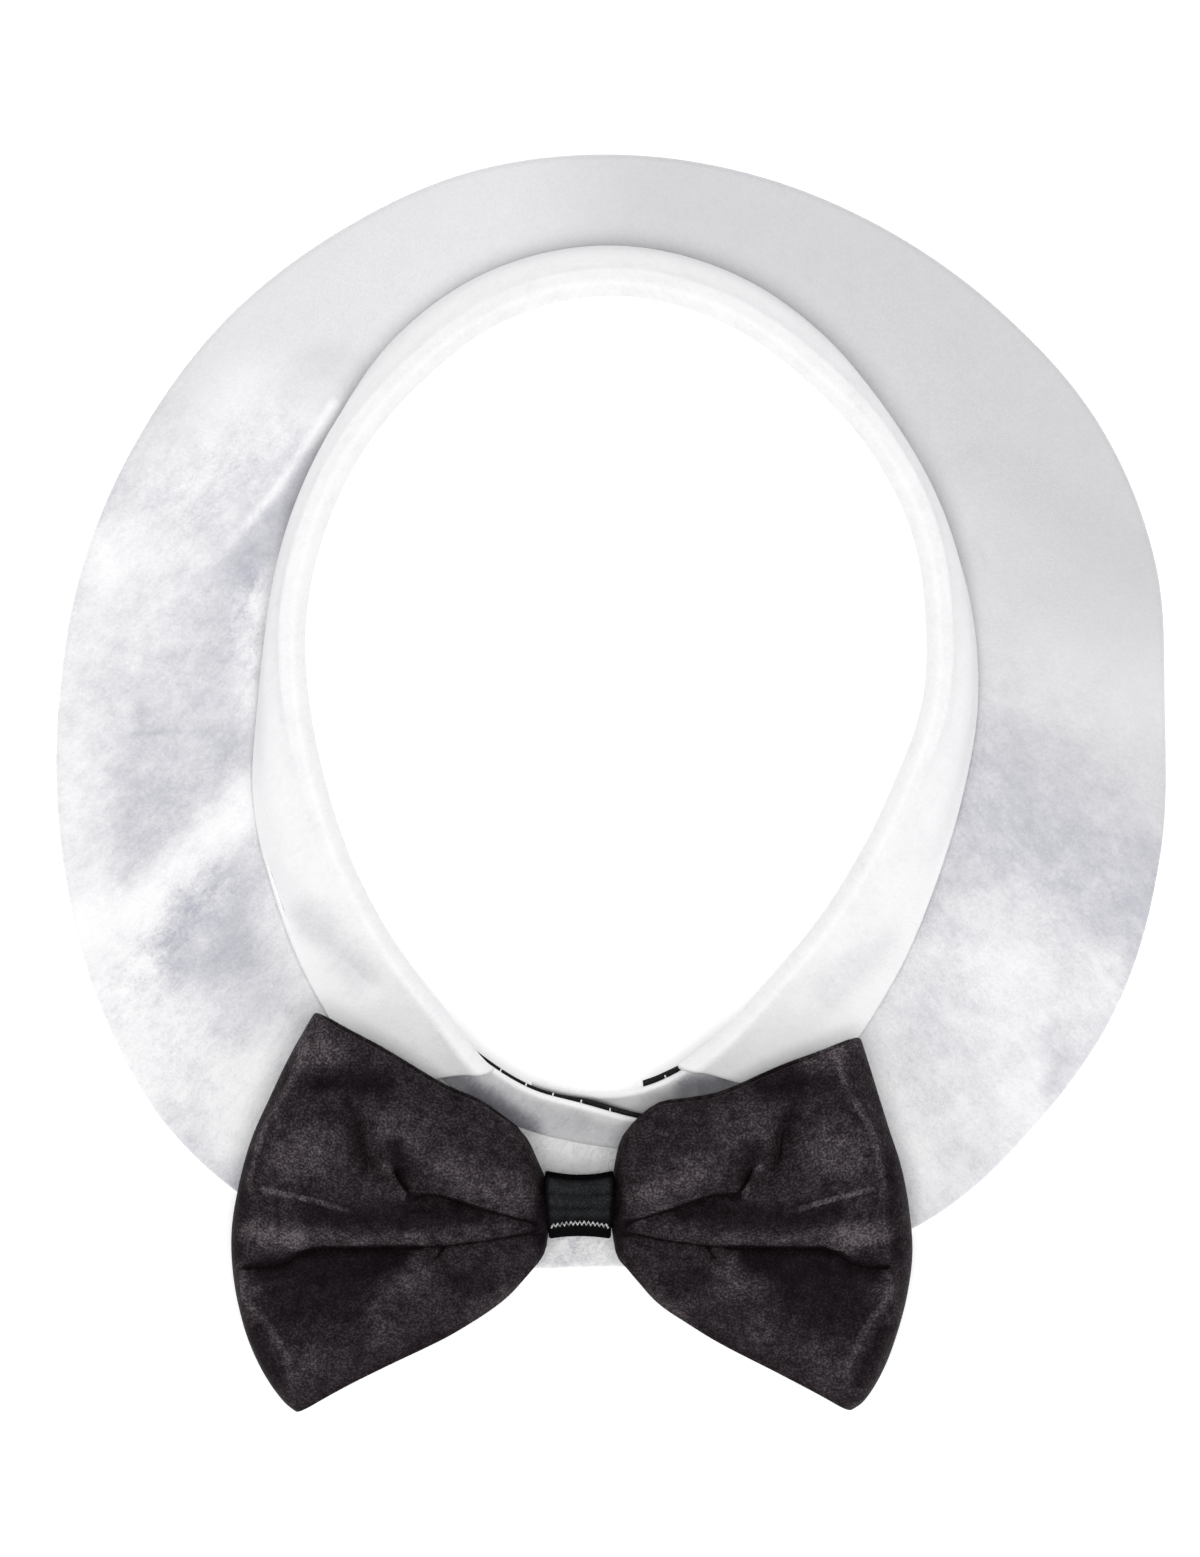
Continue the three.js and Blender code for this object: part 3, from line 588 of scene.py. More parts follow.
LEAF_EDGE_HEIGHT = 0.0036
LEAF_ROLL_SHARE = 0.32
LEAF_BELLY = 0.0009
LEAF_RIGHT_FRONT = {"at_fold": -79.6, "at_point": -67}
LEAF_LEFT_FRONT = {"at_fold": 252, "at_point": 241}
LEAF_DENTS = [
    fold(5, -.9, (-62, -17), (-54, -27), (-44.5, -35.5)),
    fold(2.2, -.6, (-47, -31.8), (-43.2, -36.2), keen=.8),
    fold(5.5, -.8, (56, -12), (50, -24), (42, -35)),
    fold(2.4, -.6, (42, -31.8), (37.5, -38.5), keen=.8),
    fold(3, .3, (-3, 97), (-3.6, 93), keen=.6),
]
LEAF_DENTS_FADE = {"roll": 0.2, "edge": 0.9}
# Painted light and shade on the leaf: the tone is painted greyer on the top of the roll and whiter down the
# slope to the free edge, so that it looks evenly lit, and LEAF_PATCHES paint shade in the dents beside the
# bow.
LEAF_TONE = {"roll": 0.86, "edge": 1.02, "edge_from": 0.9}
LEAF_MOTTLE = 0.22
LEAF_PATCHES = [
    fold(5, -.1, (-61.5, -8), (-57.5, -20), (-53.5, -27)),
    fold(6.5, -.3, (-54, -24), (-46, -34)),
    fold(4.5, -.08, (58, -10), (53, -24)),
    fold(6, -.26, (49, -29), (39.5, -37.5)),
    fold(6, -.06, (46, -42), (38, -48)),
]


def leaf_surface(u, v):
    """Angle between the two front edges by u. By v the surface first goes round the fold, from the neck side
    over the top to where its tangent meets the free edge, and then straight there with a slight belly."""
    to_point = smooth(0, 1, v)
    start = mix(LEAF_RIGHT_FRONT["at_fold"], LEAF_RIGHT_FRONT["at_point"], to_point)
    end = mix(LEAF_LEFT_FRONT["at_fold"], LEAF_LEFT_FRONT["at_point"], to_point)
    angle = mix(start, end, u)
    roll_radius, roll_height = roll_middle(angle)
    edge_radius = collar_radius("leaf", angle) - LEAF_THICKNESS / 3
    outwards, downwards = edge_radius - roll_radius, LEAF_EDGE_HEIGHT - roll_height
    roll_end = np.arctan2(downwards, outwards) + np.arccos(FOLD_ROLL / np.hypot(outwards, downwards))
    turn = mix(np.pi, roll_end, np.minimum(v / LEAF_ROLL_SHARE, 1))
    fall = np.clip((v - LEAF_ROLL_SHARE) / (1 - LEAF_ROLL_SHARE), 0, 1)
    belly = LEAF_BELLY * np.sin(np.pi * fall) ** 2
    radius = mix(roll_radius + FOLD_ROLL * np.cos(turn), edge_radius, fall) + belly
    height = mix(roll_height + FOLD_ROLL * np.sin(turn), LEAF_EDGE_HEIGHT, fall)
    places = collar_place(angle, radius, height)
    dents = MM * relief(LEAF_DENTS, places) * smooth(0, LEAF_DENTS_FADE["roll"], fall)
    places[..., 2] += dents * smooth(1, LEAF_DENTS_FADE["edge"], fall)
    return places


u, v = grid(steps(460, 0.0015), steps(54, 0.03))
leaf_places = leaf_surface(u, v)
leaf_tone = mix(LEAF_TONE["roll"], LEAF_TONE["edge"], smooth(LEAF_ROLL_SHARE, LEAF_TONE["edge_from"], v))
leaf_tone = leaf_tone + relief(LEAF_PATCHES, leaf_places)
leaf = shell("leaf_satin", leaf_places, LEAF_THICKNESS, {"tone": leaf_tone})
white_satin("leaf_white", LEAF_MOTTLE).dress(leaf)
sew(leaf, "white_satin", "collar_leaf")


# Closure strips. Black hook-and-loop tape, 6 mm wide, sewn along the neck side of the band's front ends. One
# shows as a dark line inside the closed collar, over each end's top edge.

STRIP_ON_BAND = {"low": 0.4, "thin_high": 1.005, "thick_high": 1.05}
STRIP_GAP = 0.00012
STRIP_LEFT = {"from": 242, "to": 274.5, "thin": 0.60, "thick": 0.80}
STRIP_RIGHT = {"from": -85.2, "to": -67, "thin": 0.60, "thick": 0.20}
STRIP_THICKNESS = {"thin": 0.00034, "thick": 0.0008}
TAPE_BLACK = (0.010, 0.010, 0.011, 1)
TAPE_WORN = (0.030, 0.030, 0.032, 1)
TAPE_PILE = 0.0005


def against_band(angle, share, away):
    """The place at a distance from the band's middle surface, on its neck side."""
    around = band_surface(angle + 0.5, share) - band_surface(angle - 0.5, share)
    upwards = band_surface(angle, share + 0.05) - band_surface(angle, share - 0.05)
    side = unit(np.cross(upwards, around))
    return band_surface(angle, share) + np.asarray(away)[..., None] * side


def black_tape(name):
    """Woven nylon tape: a felt of small hooks and loops, a little greyer where it is worn."""
    paint = Paint(name, Specular_IOR_Level=0.15)
    pile = paint.noise(paint.place(), TAPE_PILE, detail=4, roughness=0.7)
    paint.colour(paint.blend(TAPE_BLACK, TAPE_WORN, paint.ramp(pile, 0.45, 0.75)))
    paint.roughness(0.75 + (pile - 0.5) * 0.2)
    paint.bump(pile, 0.0003)
    return paint


tape = black_tape("tape_black")
for side, strip, count in (("left", STRIP_LEFT, 150), ("right", STRIP_RIGHT, 80)):
    u, v = grid(steps(count, 0.012), steps(16, 0.06))
    angle, thick = mix(strip["from"], strip["to"], u), smooth(strip["thin"], strip["thick"], u)
    thickness = mix(STRIP_THICKNESS["thin"], STRIP_THICKNESS["thick"], thick)
    share = mix(STRIP_ON_BAND["low"], mix(STRIP_ON_BAND["thin_high"], STRIP_ON_BAND["thick_high"], thick), v)
    away = (BAND_THICKNESS + thickness) / 2 + STRIP_GAP
    strip_tape = shell("closure_tape_" + side, against_band(angle, share, away), thickness)
    tape.dress(strip_tape)
    sew(strip_tape, "black_tape", "closure_strip_" + side)


# Strip stitches. White cotton thread that holds the strips to the band, one stitch every 5 mm. Each goes from
# a strip's top edge over the small gap and down into the band, and shows as a white dot on the dark line.

STITCH_ANGLES = {"first_left": 248.7, "first_right": -81.7, "step": 4.2}
STITCH = {"radius": 0.00014, "loop": 0.00020, "turn": (68, 190), "into_band": 0.0005}
STITCH_COLOURS = ((0.90, 0.90, 0.90, 1), (0.70, 0.70, 0.70, 1))
TWIST = {"spacing": 0.00012, "turn": math.radians(35)}


def tube(path, radius, across=(0, 0, 1), sides=8):
    """A thread along a path: a circle square to the path at each place, and a point to close each end. The
    circles are turned about the path so that they start on the far side from across."""
    path = np.array(path, float)
    ahead = unit(np.gradient(path, axis=0))
    aside = unit(np.cross(ahead, np.array(across, float)))
    upright = np.cross(aside, ahead)
    turn = np.linspace(0, 2 * np.pi, sides, endpoint=False)[None, :, None]
    rings = path[:, None] + radius * (np.cos(turn) * aside[:, None] + np.sin(turn) * upright[:, None])
    count = len(path)
    ends = np.stack([path[0] - ahead[0] * radius / 2, path[-1] + ahead[-1] * radius / 2])
    index = np.arange(count * sides).reshape(count, sides)
    index = np.hstack([index, index[:, :1]])
    tip = np.full(sides, count * sides)
    starts = np.stack([index[0, 1:], index[0, :-1], tip], axis=-1)
    stops = np.stack([index[-1, :-1], index[-1, 1:], tip + 1], axis=-1)
    return np.concatenate([rings.reshape(-1, 3), ends]), [quads(index.T), starts, stops]


def joined(name, parts):
    """One mesh object from many sets of places and blocks of faces."""
    points, faces, count = [], [], 0
    for part_points, part_faces in parts:
        faces += [block + count for block in part_faces]
        points.append(part_points)
        count += len(part_points)
    return piece(name, np.concatenate(points), faces)


def thread(name, colour, worn):
    """Twisted thread: fine slanted ridges and a little dirt."""
    paint = Paint(name, Specular_IOR_Level=0.3)
    place = paint.place()
    twist = paint.threads(place, **TWIST)
    paint.colour(paint.blend(worn, colour, paint.ramp(paint.noise(place, 0.0008), 0.35, 0.6)))
    paint.roughness(0.6 + twist * 0.15)
    paint.bump(twist, 0.00003)
    return paint


def stitch(angle):
    """A thread round part of a circle about the top edge of the band's neck side, and then straight down."""
    angle, top, face = np.array([angle]), np.ones(1), BAND_THICKNESS / 2
    edge = against_band(angle, top, face)[0]
    inwards = unit(against_band(angle, top, face + 0.001)[0] - edge)
    upwards = unit(edge - against_band(angle, top - 0.1, face)[0])
    turn = np.radians(np.linspace(*STITCH["turn"], 11))[:, None]
    path = edge + STITCH["loop"] * (np.cos(turn) * inwards + np.sin(turn) * upwards)
    path = np.concatenate([path, path[-1:] - STITCH["into_band"] * upwards])
    return tube(path, STITCH["radius"], np.cross(inwards, upwards))


left_stitches = np.arange(STITCH_ANGLES["first_left"], STRIP_LEFT["to"], STITCH_ANGLES["step"])
right_stitches = np.arange(STITCH_ANGLES["first_right"], STRIP_RIGHT["to"], STITCH_ANGLES["step"])
stitches = joined("strip_stitches", [stitch(a) for a in (*left_stitches, *right_stitches)])
thread("stitch_white", *STITCH_COLOURS).dress(stitches)
sew(stitches, "white_satin")


# Bow. One folded band of black satin, gathered in the middle under the knot. Each wing is a hollow loop: a
# puffed front ply with creases that run out of the knot, a round outer turn and a flat back ply.

BOW_PLACE = np.array([-0.0053, -0.0758, 0.0075])
BOW_TILT = math.radians(6.5)
PLY = 0.0015
END_ROLL = 0.0028
WAIST_START = 0.0003
WINGS = [
    {"name": "right", "side": 1, "folds_out": 0.91},
    {"name": "left", "side": -1, "folds_out": 1.0},
]
WING_EDGE_DROP = 0.38
WING_TURN_LEVEL = 0.42
WING_FOLDS_FADE = {"from": 0.0065, "to": 0.0100, "edge": 0.86}
WING_STEPS = {"front": 128, "turn": 26, "back": 30, "across": 188}
WING_TURN_FROM = 0.93
WING_CREASES = (-0.32, 0.16)

# Outline by distance out from the middle of the waist: heights of the top and bottom edges of each wing, and
# how far the front ply stands off. Then how far out each wing reaches, from its bottom to its top corner.
WING_SECTIONS = table(
    "out right_top right_bottom left_top left_bottom puff",
    (.0050, .0038, -.0032, .0038, -.0032, .0076), (.0060, .0042, -.0035, .0039, -.0033, .0078),
    (.0066, .0086, -.0076, .0043, -.0036, .0086), (.0072, .0116, -.0094, .0056, -.0075, .0091),
    (.0082, .0138, -.0106, .0080, -.0096, .0096), (.0106, .0164, -.0133, .0131, -.01245, .0106),
    (.0140, .0187, -.0169, .0161, -.01595, .0118), (.0185, .0194, -.0200, .0192, -.01925, .0130),
    (.0248, .0206, -.0239, .0220, -.02305, .0137), (.0356, .0253, -.0296, .0285, -.0284, .0134),
    (.0428, .0280, -.0336, .0324, -.0322, .0122), (.0500, .0309, -.0379, .0366, -.0365, .0104),
    (.0600, .0346, -.0434, .0420, -.0428, .0080),
)
WING_REACH = table(
    "across right left",
    (-1, .0476, .0506), (-.9, .0502, .0532), (-.7, .0535, .0571), (-.5, .0559, .0600), (-.3, .0577, .0618),
    (-.1, .0586, .0622), (.1, .0580, .0609), (.3, .0566, .0586), (.5, .0543, .0553), (.7, .0522, .0521),
    (.9, .0502, .0488), (1, .0492, .0472),
)

# Folds of a wing's front ply: soft swells and hollows, and creases. Their places are out and up from the
# waist, seen from straight above. They are the left wing's, and the right wing's lie nearer the knot by its
# folds_out.
UPPER_PLEAT = [(6, -3.9), (9.5, -3.15), (18.1, -.9), (23, .8), (25.8, 1.6), (28.8, 1.6), (30.9, 1.2)]
LOWER_PLEAT = [(6, -5), (18.1, -6.7), (23.5, -7.35), (29, -7.7)]
LOWER_CREASE = [(29, -7.7), (40, -7.9), (47.2, -7.9), (50.7, -8.7), (52.6, -10.2), (55, -10.9), (60, -11.3)]
MIDDLE_RIDGE = [(57.5, 3), (52.8, 2), (46.8, .7), (40.8, -1.1), (38.5, -1.9)]
OUTER_RIM = [(48.8, 29), (52.2, 21.3), (56.6, 13.3), (59.2, 4.7), (58.6, -3.4)]
LOWER_RIM = [(60.6, -12.7), (60.2, -16.7), (56.1, -22), (52.8, -27.4), (51.5, -32.7)]
PIT = [(33.5, 5.7), (32.6, 4), (31.4, 2.6)]
KNUCKLE = [(35.2, 7.2), (33.8, 4.2), (32.2, 1.6), (30.6, .5)]
TUCK = [(26.2, -9.5), (24.6, -7.8)]
LOWER_SWELL = [(27, -14), (29, -14.5)]
LOWER_RIDGE = [(46.8, -12), (60, -15.8)]
WING_FOLDS = [
    fold(8.5, 1.4, (12, 8), (22, 10)),
    fold(4.2, .9, (10, 3), (24, 6)),
    fold(8, 1.4, (29, 14), (34, 13)),
    fold(8, 1.1, (45.5, 10.5), (51.5, 12)),
    fold(6, .8, (42, 27.5), (46.5, 29.5)),
    fold(4.8, -1.2, (49, 22.3), (43, 23.5), (35, 22.6)),
    fold(4.2, -1.6, (40.4, 19), (39.8, 13), (39, 8)),
    fold(2, -.8, (39.6, 15), (38.8, 7.5), (35.3, 4.6), keen=.5),
    fold(1.3, .3, *OUTER_RIM),
    fold(4.6, -1.6, *UPPER_PLEAT, fade=.1),
    fold(1.5, -1.4, *UPPER_PLEAT, keen=1, lip=.8, fade=.1),
    fold(4.6, -1.4, (33.2, 10.5), (32.5, 6)),
    fold(1.8, -2.4, *PIT, keen=.7),
    fold(1.2, .5, *KNUCKLE, keen=.6, fade=.4),
    fold(1.2, -.7, (30.5, -1), (27.8, -1.4), keen=.6),
    fold(5, .8, (35, -2), (50, .6)),
    fold(.9, .3, *MIDDLE_RIDGE, keen=.8),
    fold(4.6, -1.4, *LOWER_PLEAT, *LOWER_CREASE[1:3]),
    fold(1.3, -1.3, *LOWER_PLEAT, keen=1, lip=.6),
    fold(2, -2, *LOWER_CREASE, keen=.9, lip=.8),
    fold(1.1, -1.2, *TUCK, keen=.8),
    fold(10.5, -2.2, (40, -15), (51, -16.5)),
    fold(1.8, .3, *LOWER_RIDGE, keen=.5),
    fold(5.5, 1.6, (29, -9.5), (34.5, -14), (37.3, -18), (35.7, -21.5)),
    fold(4.5, .7, *LOWER_SWELL),
    fold(3.6, -1.2, (23.5, -12), (22.5, -17), keen=.3),
    fold(3, -1.1, (21, -13.6), (15, -11.6), (9.5, -9.8), keen=.5),
    fold(3.6, .7, (14, -14.5), (19, -18)),
    fold(1.8, .5, *LOWER_RIM, keen=.4),
    fold(6, .8, (42, -26), (48, -30)),
]

# Painted sheen and painted shade of the wings: WING_TONE is the share of light that the satin's sheen throws
# back, and the patches are where it is painted brighter or darker, with painted shade next to the knot. The
# last ones are painted highlights on the thin bright edges and painted shade in the clefts of the folds.
WING_TONE = 0.22
WING_PATCHES = [
    fold(6.5, .25, (46.5, 27), (52, 31)),
    fold(4.2, -.16, (47, 22.5), (42, 22.8), (36, 21)),
    fold(3, -.09, (42, 18), (40.5, 13), (38, 7.8)),
    fold(7.5, .19, (48, 10), (52, 9.5)),
    fold(7, .12, (34, 15), (30, 13)),
    fold(3.6, -.16, (33.2, 10), (32.2, 5)),
    fold(5, .19, (24, 6.6), (18, 4), (13, 2.2)),
    fold(3.6, -.15, (49, -.8), (40, -2), (20, -1.2)),
    fold(3.8, .3, (59, -5), (51, -5.8)),
    fold(2.8, .13, (56, -5.6), (30, -6.2)),
    fold(2.2, .08, (30, -5.5), (12, -4.5)),
    fold(3.4, -.17, (57, -11), (33, -9.5)),
    fold(4, -.12, (56, -12.8), (33, -10.5)),
    fold(8.5, -.13, (40, -16), (52, -18)),
    fold(1.4, .08, *LOWER_RIDGE),
    fold(3.8, .11, (30, -11.5), (34.5, -15), (37.3, -19), (35.7, -22.5)),
    fold(4, .07, *LOWER_SWELL),
    fold(3.6, -.1, (24, -12.5), (18, -14)),
    fold(3.4, .08, (14.5, -15.5), (19, -19)),
    fold(5, .08, (47, -27.5), (51, -30)),
    fold(3.4, -.15, (49, -38), (41, -33), (25, -24.5)),
    fold(2.2, -.12, (60, 8), (61.2, -4), (61.8, -9)),
    fold(2.6, -.12, (59, -23), (54.5, -31)),
    fold(3, -.3, (6.2, 6), (6.2, -7.5)),
    fold(.7, .22, *OUTER_RIM, fade=.3),
    fold(.7, .2, *LOWER_RIM, fade=.3),
    fold(.35, .34, *MIDDLE_RIDGE, fade=.5),
    fold(.6, .26, *KNUCKLE, fade=.4),
    fold(.9, -.85, *UPPER_PLEAT),
    fold(.8, .1, (23, 2), (11, -2)),
    fold(.8, -.75, *LOWER_PLEAT),
    fold(1.2, -.85, *LOWER_CREASE),
    fold(1, -.85, *PIT),
    fold(.8, -.75, *TUCK),
]
BLACK_IN_SHADE = (0.0040, 0.0022, 0.0032, 1)
BLACK_IN_LIGHT = (0.1150, 0.0985, 0.1075, 1)
BLACK_SIZES = {"twill": 0.00045, "flecks": 0.00042, "clouds": 0.0022}


def bow_place(x, y, z):
    """A place in the bow's own frame, along it, up it and out of its face, set into the collar's frame."""
    c, s = math.cos(BOW_TILT), math.sin(BOW_TILT)
    return BOW_PLACE + np.stack(np.broadcast_arrays(x, y * c - z * s, y * s + z * c), axis=-1)


def wing_surface(wing, round_wing, across):
    """Middle surface of a wing's band, with the places that its folds are drawn at. round_wing goes from 0 at
    the waist to 1 at the outer turn over the front, and back to 2 at the waist along the back. across goes
    from -1 at the bottom edge to 1 at the top. The front stands off by the puff and the folds, and half an
    ellipse joins it to the back."""
    share = np.where(round_wing <= 1, round_wing, 2 - round_wing)
    reach = through(WING_REACH, "across", wing["name"], across)
    out = mix(WAIST_START, reach, share * (2 - share))
    top, bottom = (through(WING_SECTIONS, "out", wing["name"] + edge, out) for edge in ("_top", "_bottom"))
    up = mix(bottom, top, (across + 1) / 2)
    crown = through(WING_SECTIONS, "out", "puff", out) * (1 - WING_EDGE_DROP * np.abs(across) ** 3)
    seen_up = up * math.cos(BOW_TILT) - crown * math.sin(BOW_TILT)
    seen = np.stack([out / wing["folds_out"], seen_up], axis=-1)
    fade = WING_FOLDS_FADE
    still = smooth(fade["from"], fade["to"], out) * (1 - smooth(fade["edge"], 1, np.abs(across)))
    front = crown + still * MM * relief(WING_FOLDS, seen) - PLY / 2
    before_turn = np.minimum((reach - out) / END_ROLL, 1)
    turned = np.sqrt(1 - (1 - before_turn) ** 2)
    depth = mix(mix(PLY / 2, front, WING_TURN_LEVEL), np.where(round_wing <= 1, front, PLY / 2), turned)
    return bow_place(wing["side"] * out, up, depth), seen


def crowded(count, low, high):
    """Steps from -1 to 1, three times as close from low to high, where the creases are, and seven times as
    close at the ends."""
    fine = np.linspace(-1, 1, 4001)
    density = 1 + 2 * smooth(low - 0.1, low, fine) * smooth(high + 0.1, high, fine)
    density += 6 * smooth(0.975, 1, np.abs(fine))
    total = np.cumsum(density)
    return np.interp(np.linspace(total[0], total[-1], count), total, fine)


def black_satin(name, shade=BLACK_IN_SHADE, light=BLACK_IN_LIGHT, gloss=0.02, grain=1.0):
    """Black satin: violet-black, with a grain of bright flecks, painted glints where the floats of the twill
    catch light. The tone is painted sheen, the share of light that its sheen throws back, and grain and
    clouds vary it in proportion."""
    paint = Paint(name, Specular_IOR_Level=gloss, Specular_Tint=(1.0, 0.84, 0.93, 1))
    place, woven = paint.place(), paint.along_cloth()
    flecks = paint.noise(place, BLACK_SIZES["flecks"], detail=2.5, roughness=0.65)
    clouds = paint.noise(place, BLACK_SIZES["clouds"], detail=5, roughness=0.62)
    twill = paint.threads(woven, BLACK_SIZES["twill"], math.radians(45))
    sparks = paint.ramp(flecks, 0.40, 0.72, 1 - grain * 0.5, 1 + grain * 1.4)
    varied = sparks * ((clouds - 0.5) * grain * 3.2 + (twill - 0.5) * 0.25 + 1)
    sheen = paint.ramp(paint.attribute("tone"), 0.0, 1.0, 0.035, 1.0)
    paint.colour(paint.blend(shade, light, sheen * varied))
    paint.roughness(0.50 - (flecks - 0.5) * 0.2)
    paint.bump(twill * 0.22 + flecks * 0.7 + clouds, 0.00009)
    return paint


# Steps round a wing that lie evenly along its front and back, and close together round its outer turn.
front_flat = 1 - np.sqrt(1 - np.linspace(0, WING_TURN_FROM, WING_STEPS["front"]))
front_turn = np.linspace(front_flat[-1], 1, WING_STEPS["turn"])[1:]
back_share = 1 + np.sqrt(1 - np.linspace(0, 1, WING_STEPS["back"]))[::-1][1:]
round_steps = np.concatenate([front_flat, front_turn, back_share])
for wing in WINGS:
    u, v = grid(round_steps, crowded(WING_STEPS["across"], *WING_CREASES))
    wing_places, seen = wing_surface(wing, u, v)
    wing_tone = WING_TONE + relief(WING_PATCHES, seen)
    wing_cloth = shell("bow_wing_" + wing["name"], wing_places, PLY, {"tone": wing_tone})
    black_satin("bow_black_" + wing["name"]).dress(wing_cloth)
    sew(wing_cloth, "black_satin", "bow")


# Knot. A short band of the same black satin, wrapped once round the bow's waist and sewn behind it. Its face
# is drawn into faint ribs, and its lower edge is overcast with pale grey zigzag thread.

KNOT = {"top": 0.0062, "lip": -0.0020, "low": -0.0059, "back": -0.0015, "shoulder": 0.0032, "face": 0.0106}
KNOT_PINCH = {"top": 0.0008, "low": 0.0005}
KNOT_WRAP = {"left": -0.0060, "right": 0.0052, "wall": 0.0010, "flare": 0.11}
KNOT_RIBS = {"count": 3, "depth": 0.00022, "level": 0.6, "from": 0.0016, "to": 0.0006}
# Painted light and shade on the knot: KNOT_TONE is painted shade on its hidden parts and painted sheen on its
# face, made darker in the grooves and lighter on the ribs.
KNOT_TONE = {"hidden": 0.0, "face": 0.215, "groove": 0.75, "rib": 1.15}
KNOT_LIGHT = {"from": 0.0042, "to": 0.0012, "sides": 0.08, "above_lip": (0.0020, 0.0006), "lost": 0.4}
KNOT_IN_SHADE = (0.0004, 0.0004, 0.0005, 1)
KNOT_IN_LIGHT = (0.096, 0.099, 0.106, 1)
KNOT_CORNERS = (0.0010, 0.0012, 0.0018, 0.0006, 0.0008)
ZIGZAG = {"half_length": 0.0051, "count": 13, "height": 0.00034, "radius": 0.00019, "arch": 0.0007}
ZIGZAG_OFF = {"lip": 0.0006, "face": 0.0005}
ZIGZAG_COLOURS = ((0.70, 0.70, 0.71, 1), (0.22, 0.22, 0.23, 1))


def rounded(corners, radii, count):
    """A closed outline with each corner rounded by a parabola that starts and ends at its radius from it,
    cut into even steps."""
    corners = np.array(corners, float)
    places = []
    for i, radius in enumerate(radii):
        before, corner, after = corners[i - 1], corners[i], corners[(i + 1) % len(corners)]
        start, stop = (corner + radius * unit(other - corner) for other in (before, after))
        t = np.linspace(0, 1, 9)[:, None]
        places.append(start * (1 - t) ** 2 + 2 * corner * t * (1 - t) + stop * t * t)
    outline = np.concatenate([*places, places[0][:1]])
    far = run(outline)
    even = np.linspace(0, far[-1], count, endpoint=False)
    return np.stack([np.interp(even, far, outline[:, k]) for k in (0, 1)], axis=-1)


half_wall = KNOT_WRAP["wall"] / 2
top, lip, low, back, shoulder, face = KNOT.values()
outline = rounded([
    (low + half_wall, back + half_wall), (top - half_wall, back + half_wall),
    (top - half_wall, face - half_wall), (lip, face - half_wall), (low + half_wall, shoulder),
], KNOT_CORNERS, 200)
u, up_index = grid(steps(46, 0.04), np.arange(len(outline)))
up, depth = outline[up_index, 0], outline[up_index, 1]
on_face = smooth(face - KNOT_RIBS["from"], face - KNOT_RIBS["to"], depth)
rib = np.abs(np.sin(np.pi * KNOT_RIBS["count"] * (up - lip) / (top - lip)))
depth = depth + on_face * KNOT_RIBS["depth"] * (rib - KNOT_RIBS["level"])
pinch = KNOT_PINCH["low"] * smooth(0, low / 2, up) - KNOT_PINCH["top"] * smooth(0, top, up)
pinched_up = up + (1 - (2 * u - 1) ** 2) * pinch
flare = 1 + KNOT_WRAP["flare"] * smooth(low, top, up)
knot_places = bow_place(mix(KNOT_WRAP["left"], KNOT_WRAP["right"], u) * flare, pinched_up, depth)
# The face is painted lit, and painted shade falls towards its sides and just above the lip.
in_light = smooth(face - KNOT_LIGHT["from"], face - KNOT_LIGHT["to"], depth)
in_light *= smooth(0, KNOT_LIGHT["sides"], u) * smooth(1, 1 - KNOT_LIGHT["sides"], u)
lip_far, lip_near = KNOT_LIGHT["above_lip"]
in_light *= 1 - KNOT_LIGHT["lost"] * smooth(lip + lip_far, lip + lip_near, up)
in_light *= mix(KNOT_TONE["groove"], KNOT_TONE["rib"], rib)
knot_tone = mix(KNOT_TONE["hidden"], KNOT_TONE["face"], in_light)
knot = shell("knot_satin", knot_places, KNOT_WRAP["wall"], {"tone": knot_tone}, closed=True)
black_satin("knot_black", KNOT_IN_SHADE, KNOT_IN_LIGHT, gloss=0.0, grain=0.45).dress(knot)
sew(knot, "black_satin", "knot")

turns = np.arange(ZIGZAG["count"] * 2 + 1)
along = np.linspace(-1, 1, len(turns))
zigzag_x = (KNOT_WRAP["left"] + KNOT_WRAP["right"]) / 2 + along * ZIGZAG["half_length"]
zigzag_up = lip - ZIGZAG_OFF["lip"] + ZIGZAG["arch"] * (1 - along ** 2)
zigzag_up = zigzag_up + ZIGZAG["height"] * (turns % 2 - 0.5) * 2
slope = (face - shoulder) / (lip - low)
zigzag_depth = face - slope * np.maximum(lip - zigzag_up, 0) + ZIGZAG_OFF["face"]
zigzag = joined("knot_zigzag", [tube(bow_place(zigzag_x, zigzag_up, zigzag_depth), ZIGZAG["radius"])])
thread("zigzag_grey", *ZIGZAG_COLOURS).dress(zigzag)
sew(zigzag, "white_satin")


# Tack pad. A small plain pad of black tape, hidden under the knot, that stands for the few stitches which
# hold the bow to the yoke. Its solid shows as it is, and only gets its finish here.

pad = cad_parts["bow_tack_pad"]
pad.material_slots[0].material = black_tape("pad_black").material


# Table, light and camera. A plain pale table, broad soft light all round that is brightest low down, a soft
# lamp overhead, and a camera straight above. The view is as high as VIEW_HEIGHT where the collar lies.

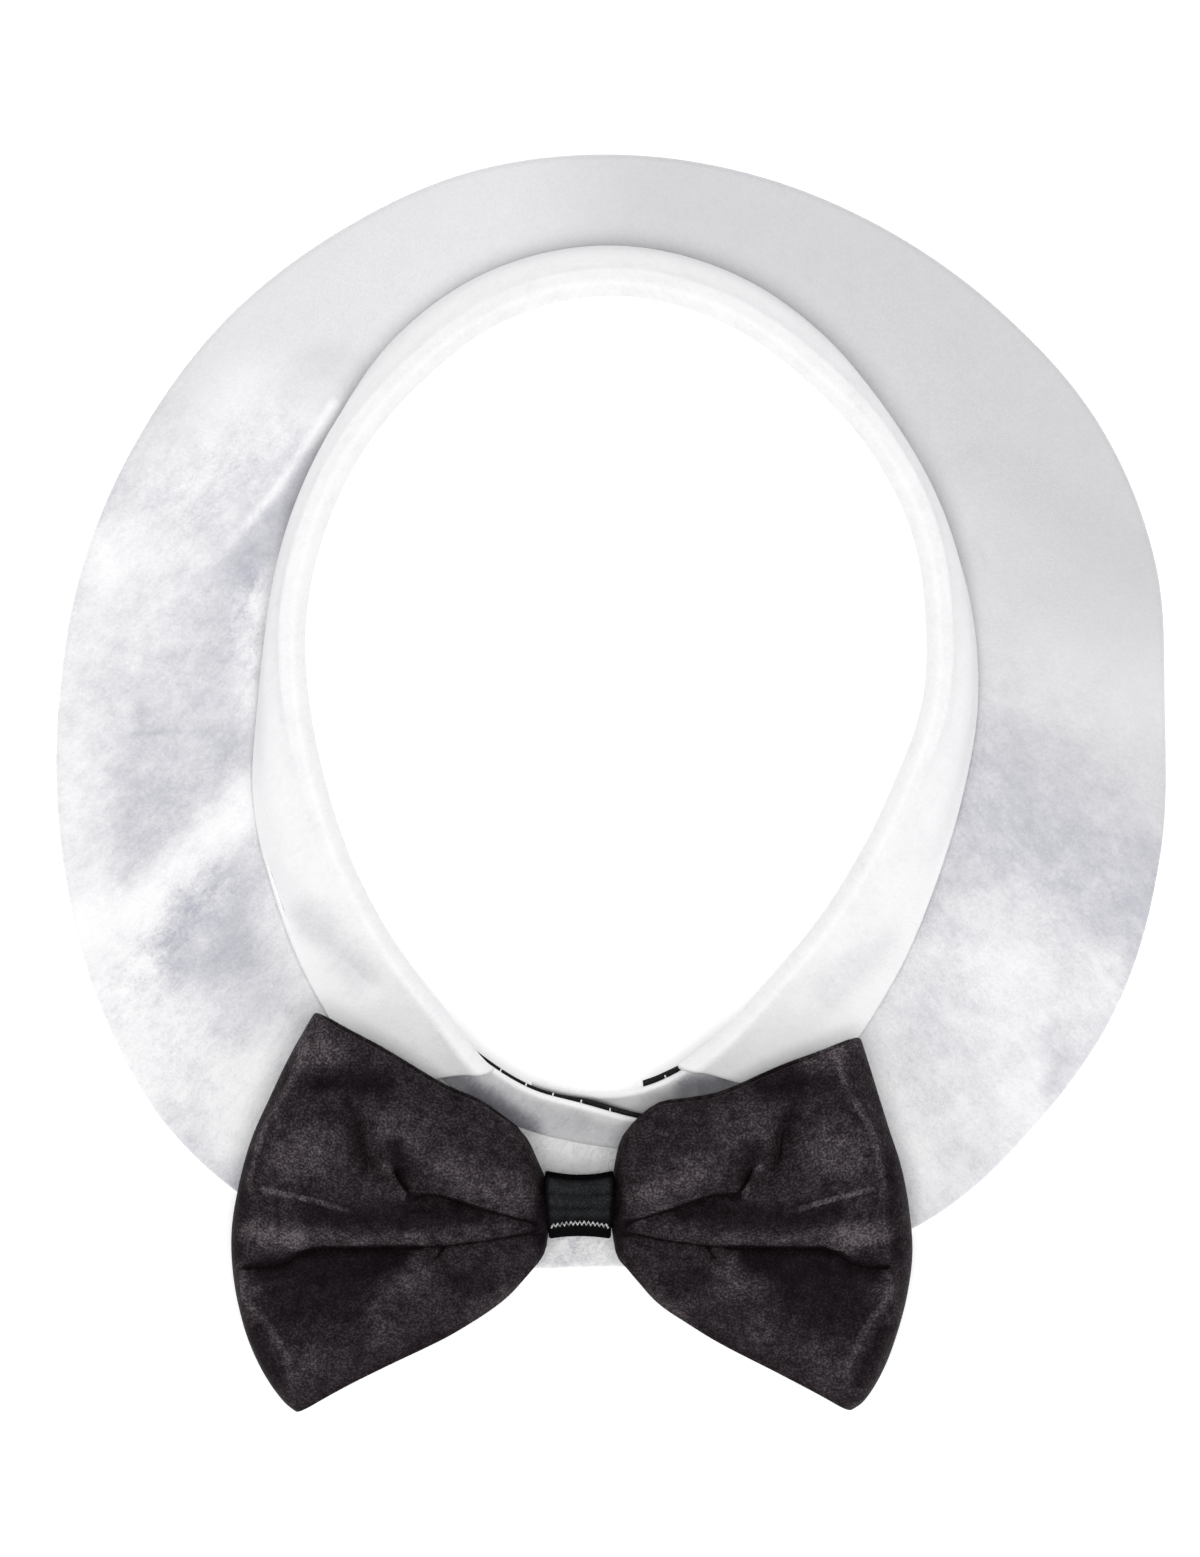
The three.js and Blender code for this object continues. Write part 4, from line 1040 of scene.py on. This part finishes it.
VIEW_MIDDLE = (-0.00207, 0.00072)
VIEW_HEIGHT = 0.28026
CAMERA_HEIGHT = 4.0
SENSOR = 36
FLOOR_DEPTH = -0.0002
TABLE_REACH = 4.0
TABLE_WHITES = ((0.93, 0.93, 0.93, 1), (0.96, 0.96, 0.96, 1))
LIGHT_ALL_ROUND = {"low": 1.25, "overhead": 0.15}
TOP_LIGHT = {"tilt": math.radians(7), "spread": math.radians(34), "power": 1.9}
TABLE_GLOW = 0.30

corners = np.array([(-1, -1), (1, -1), (1, 1), (-1, 1)]) * TABLE_REACH
floor = piece("floor", np.column_stack([corners, np.full(4, FLOOR_DEPTH)]), [np.array([[0, 1, 2, 3]])])
board = Paint("board_white", Roughness=0.7, Specular_IOR_Level=0.2, Emission_Strength=TABLE_GLOW)
board.shader.inputs["Emission Color"].default_value = (1, 1, 1, 1)
board.colour(board.blend(*TABLE_WHITES, board.noise(board.place(), 0.05)))
board.dress(floor)

world = bpy.data.worlds.new("studio")
bpy.context.scene.world = world
world.use_nodes = True
backdrop = world.node_tree.nodes["Background"]
backdrop.inputs["Color"].default_value = (1, 1, 1, 1)
towards = world.node_tree.nodes.new("ShaderNodeTexCoord")
upwards = world.node_tree.nodes.new("ShaderNodeSeparateXYZ")
brightness = world.node_tree.nodes.new("ShaderNodeMapRange")
brightness.inputs["To Min"].default_value = LIGHT_ALL_ROUND["low"]
brightness.inputs["To Max"].default_value = LIGHT_ALL_ROUND["overhead"]
world.node_tree.links.new(towards.outputs["Generated"], upwards.inputs["Vector"])
world.node_tree.links.new(upwards.outputs["Z"], brightness.inputs["Value"])
world.node_tree.links.new(brightness.outputs["Result"], backdrop.inputs["Strength"])

sky = bpy.data.lights.new("top_softbox", "SUN")
sky.energy = TOP_LIGHT["power"]
sky.angle = TOP_LIGHT["spread"]
top_softbox = bpy.data.objects.new("top_softbox", sky)
top_softbox.rotation_euler = (TOP_LIGHT["tilt"], 0, 0)
bpy.context.scene.collection.objects.link(top_softbox)

lens = bpy.data.cameras.new("camera")
lens.sensor_width = SENSOR
lens.lens = SENSOR * CAMERA_HEIGHT / VIEW_HEIGHT
lens.clip_end = 5 * CAMERA_HEIGHT
camera = bpy.data.objects.new("camera", lens)
camera.location = (*VIEW_MIDDLE, CAMERA_HEIGHT)
bpy.context.scene.collection.objects.link(camera)
bpy.context.scene.camera = camera
bpy.context.scene.view_settings.view_transform = "Standard"
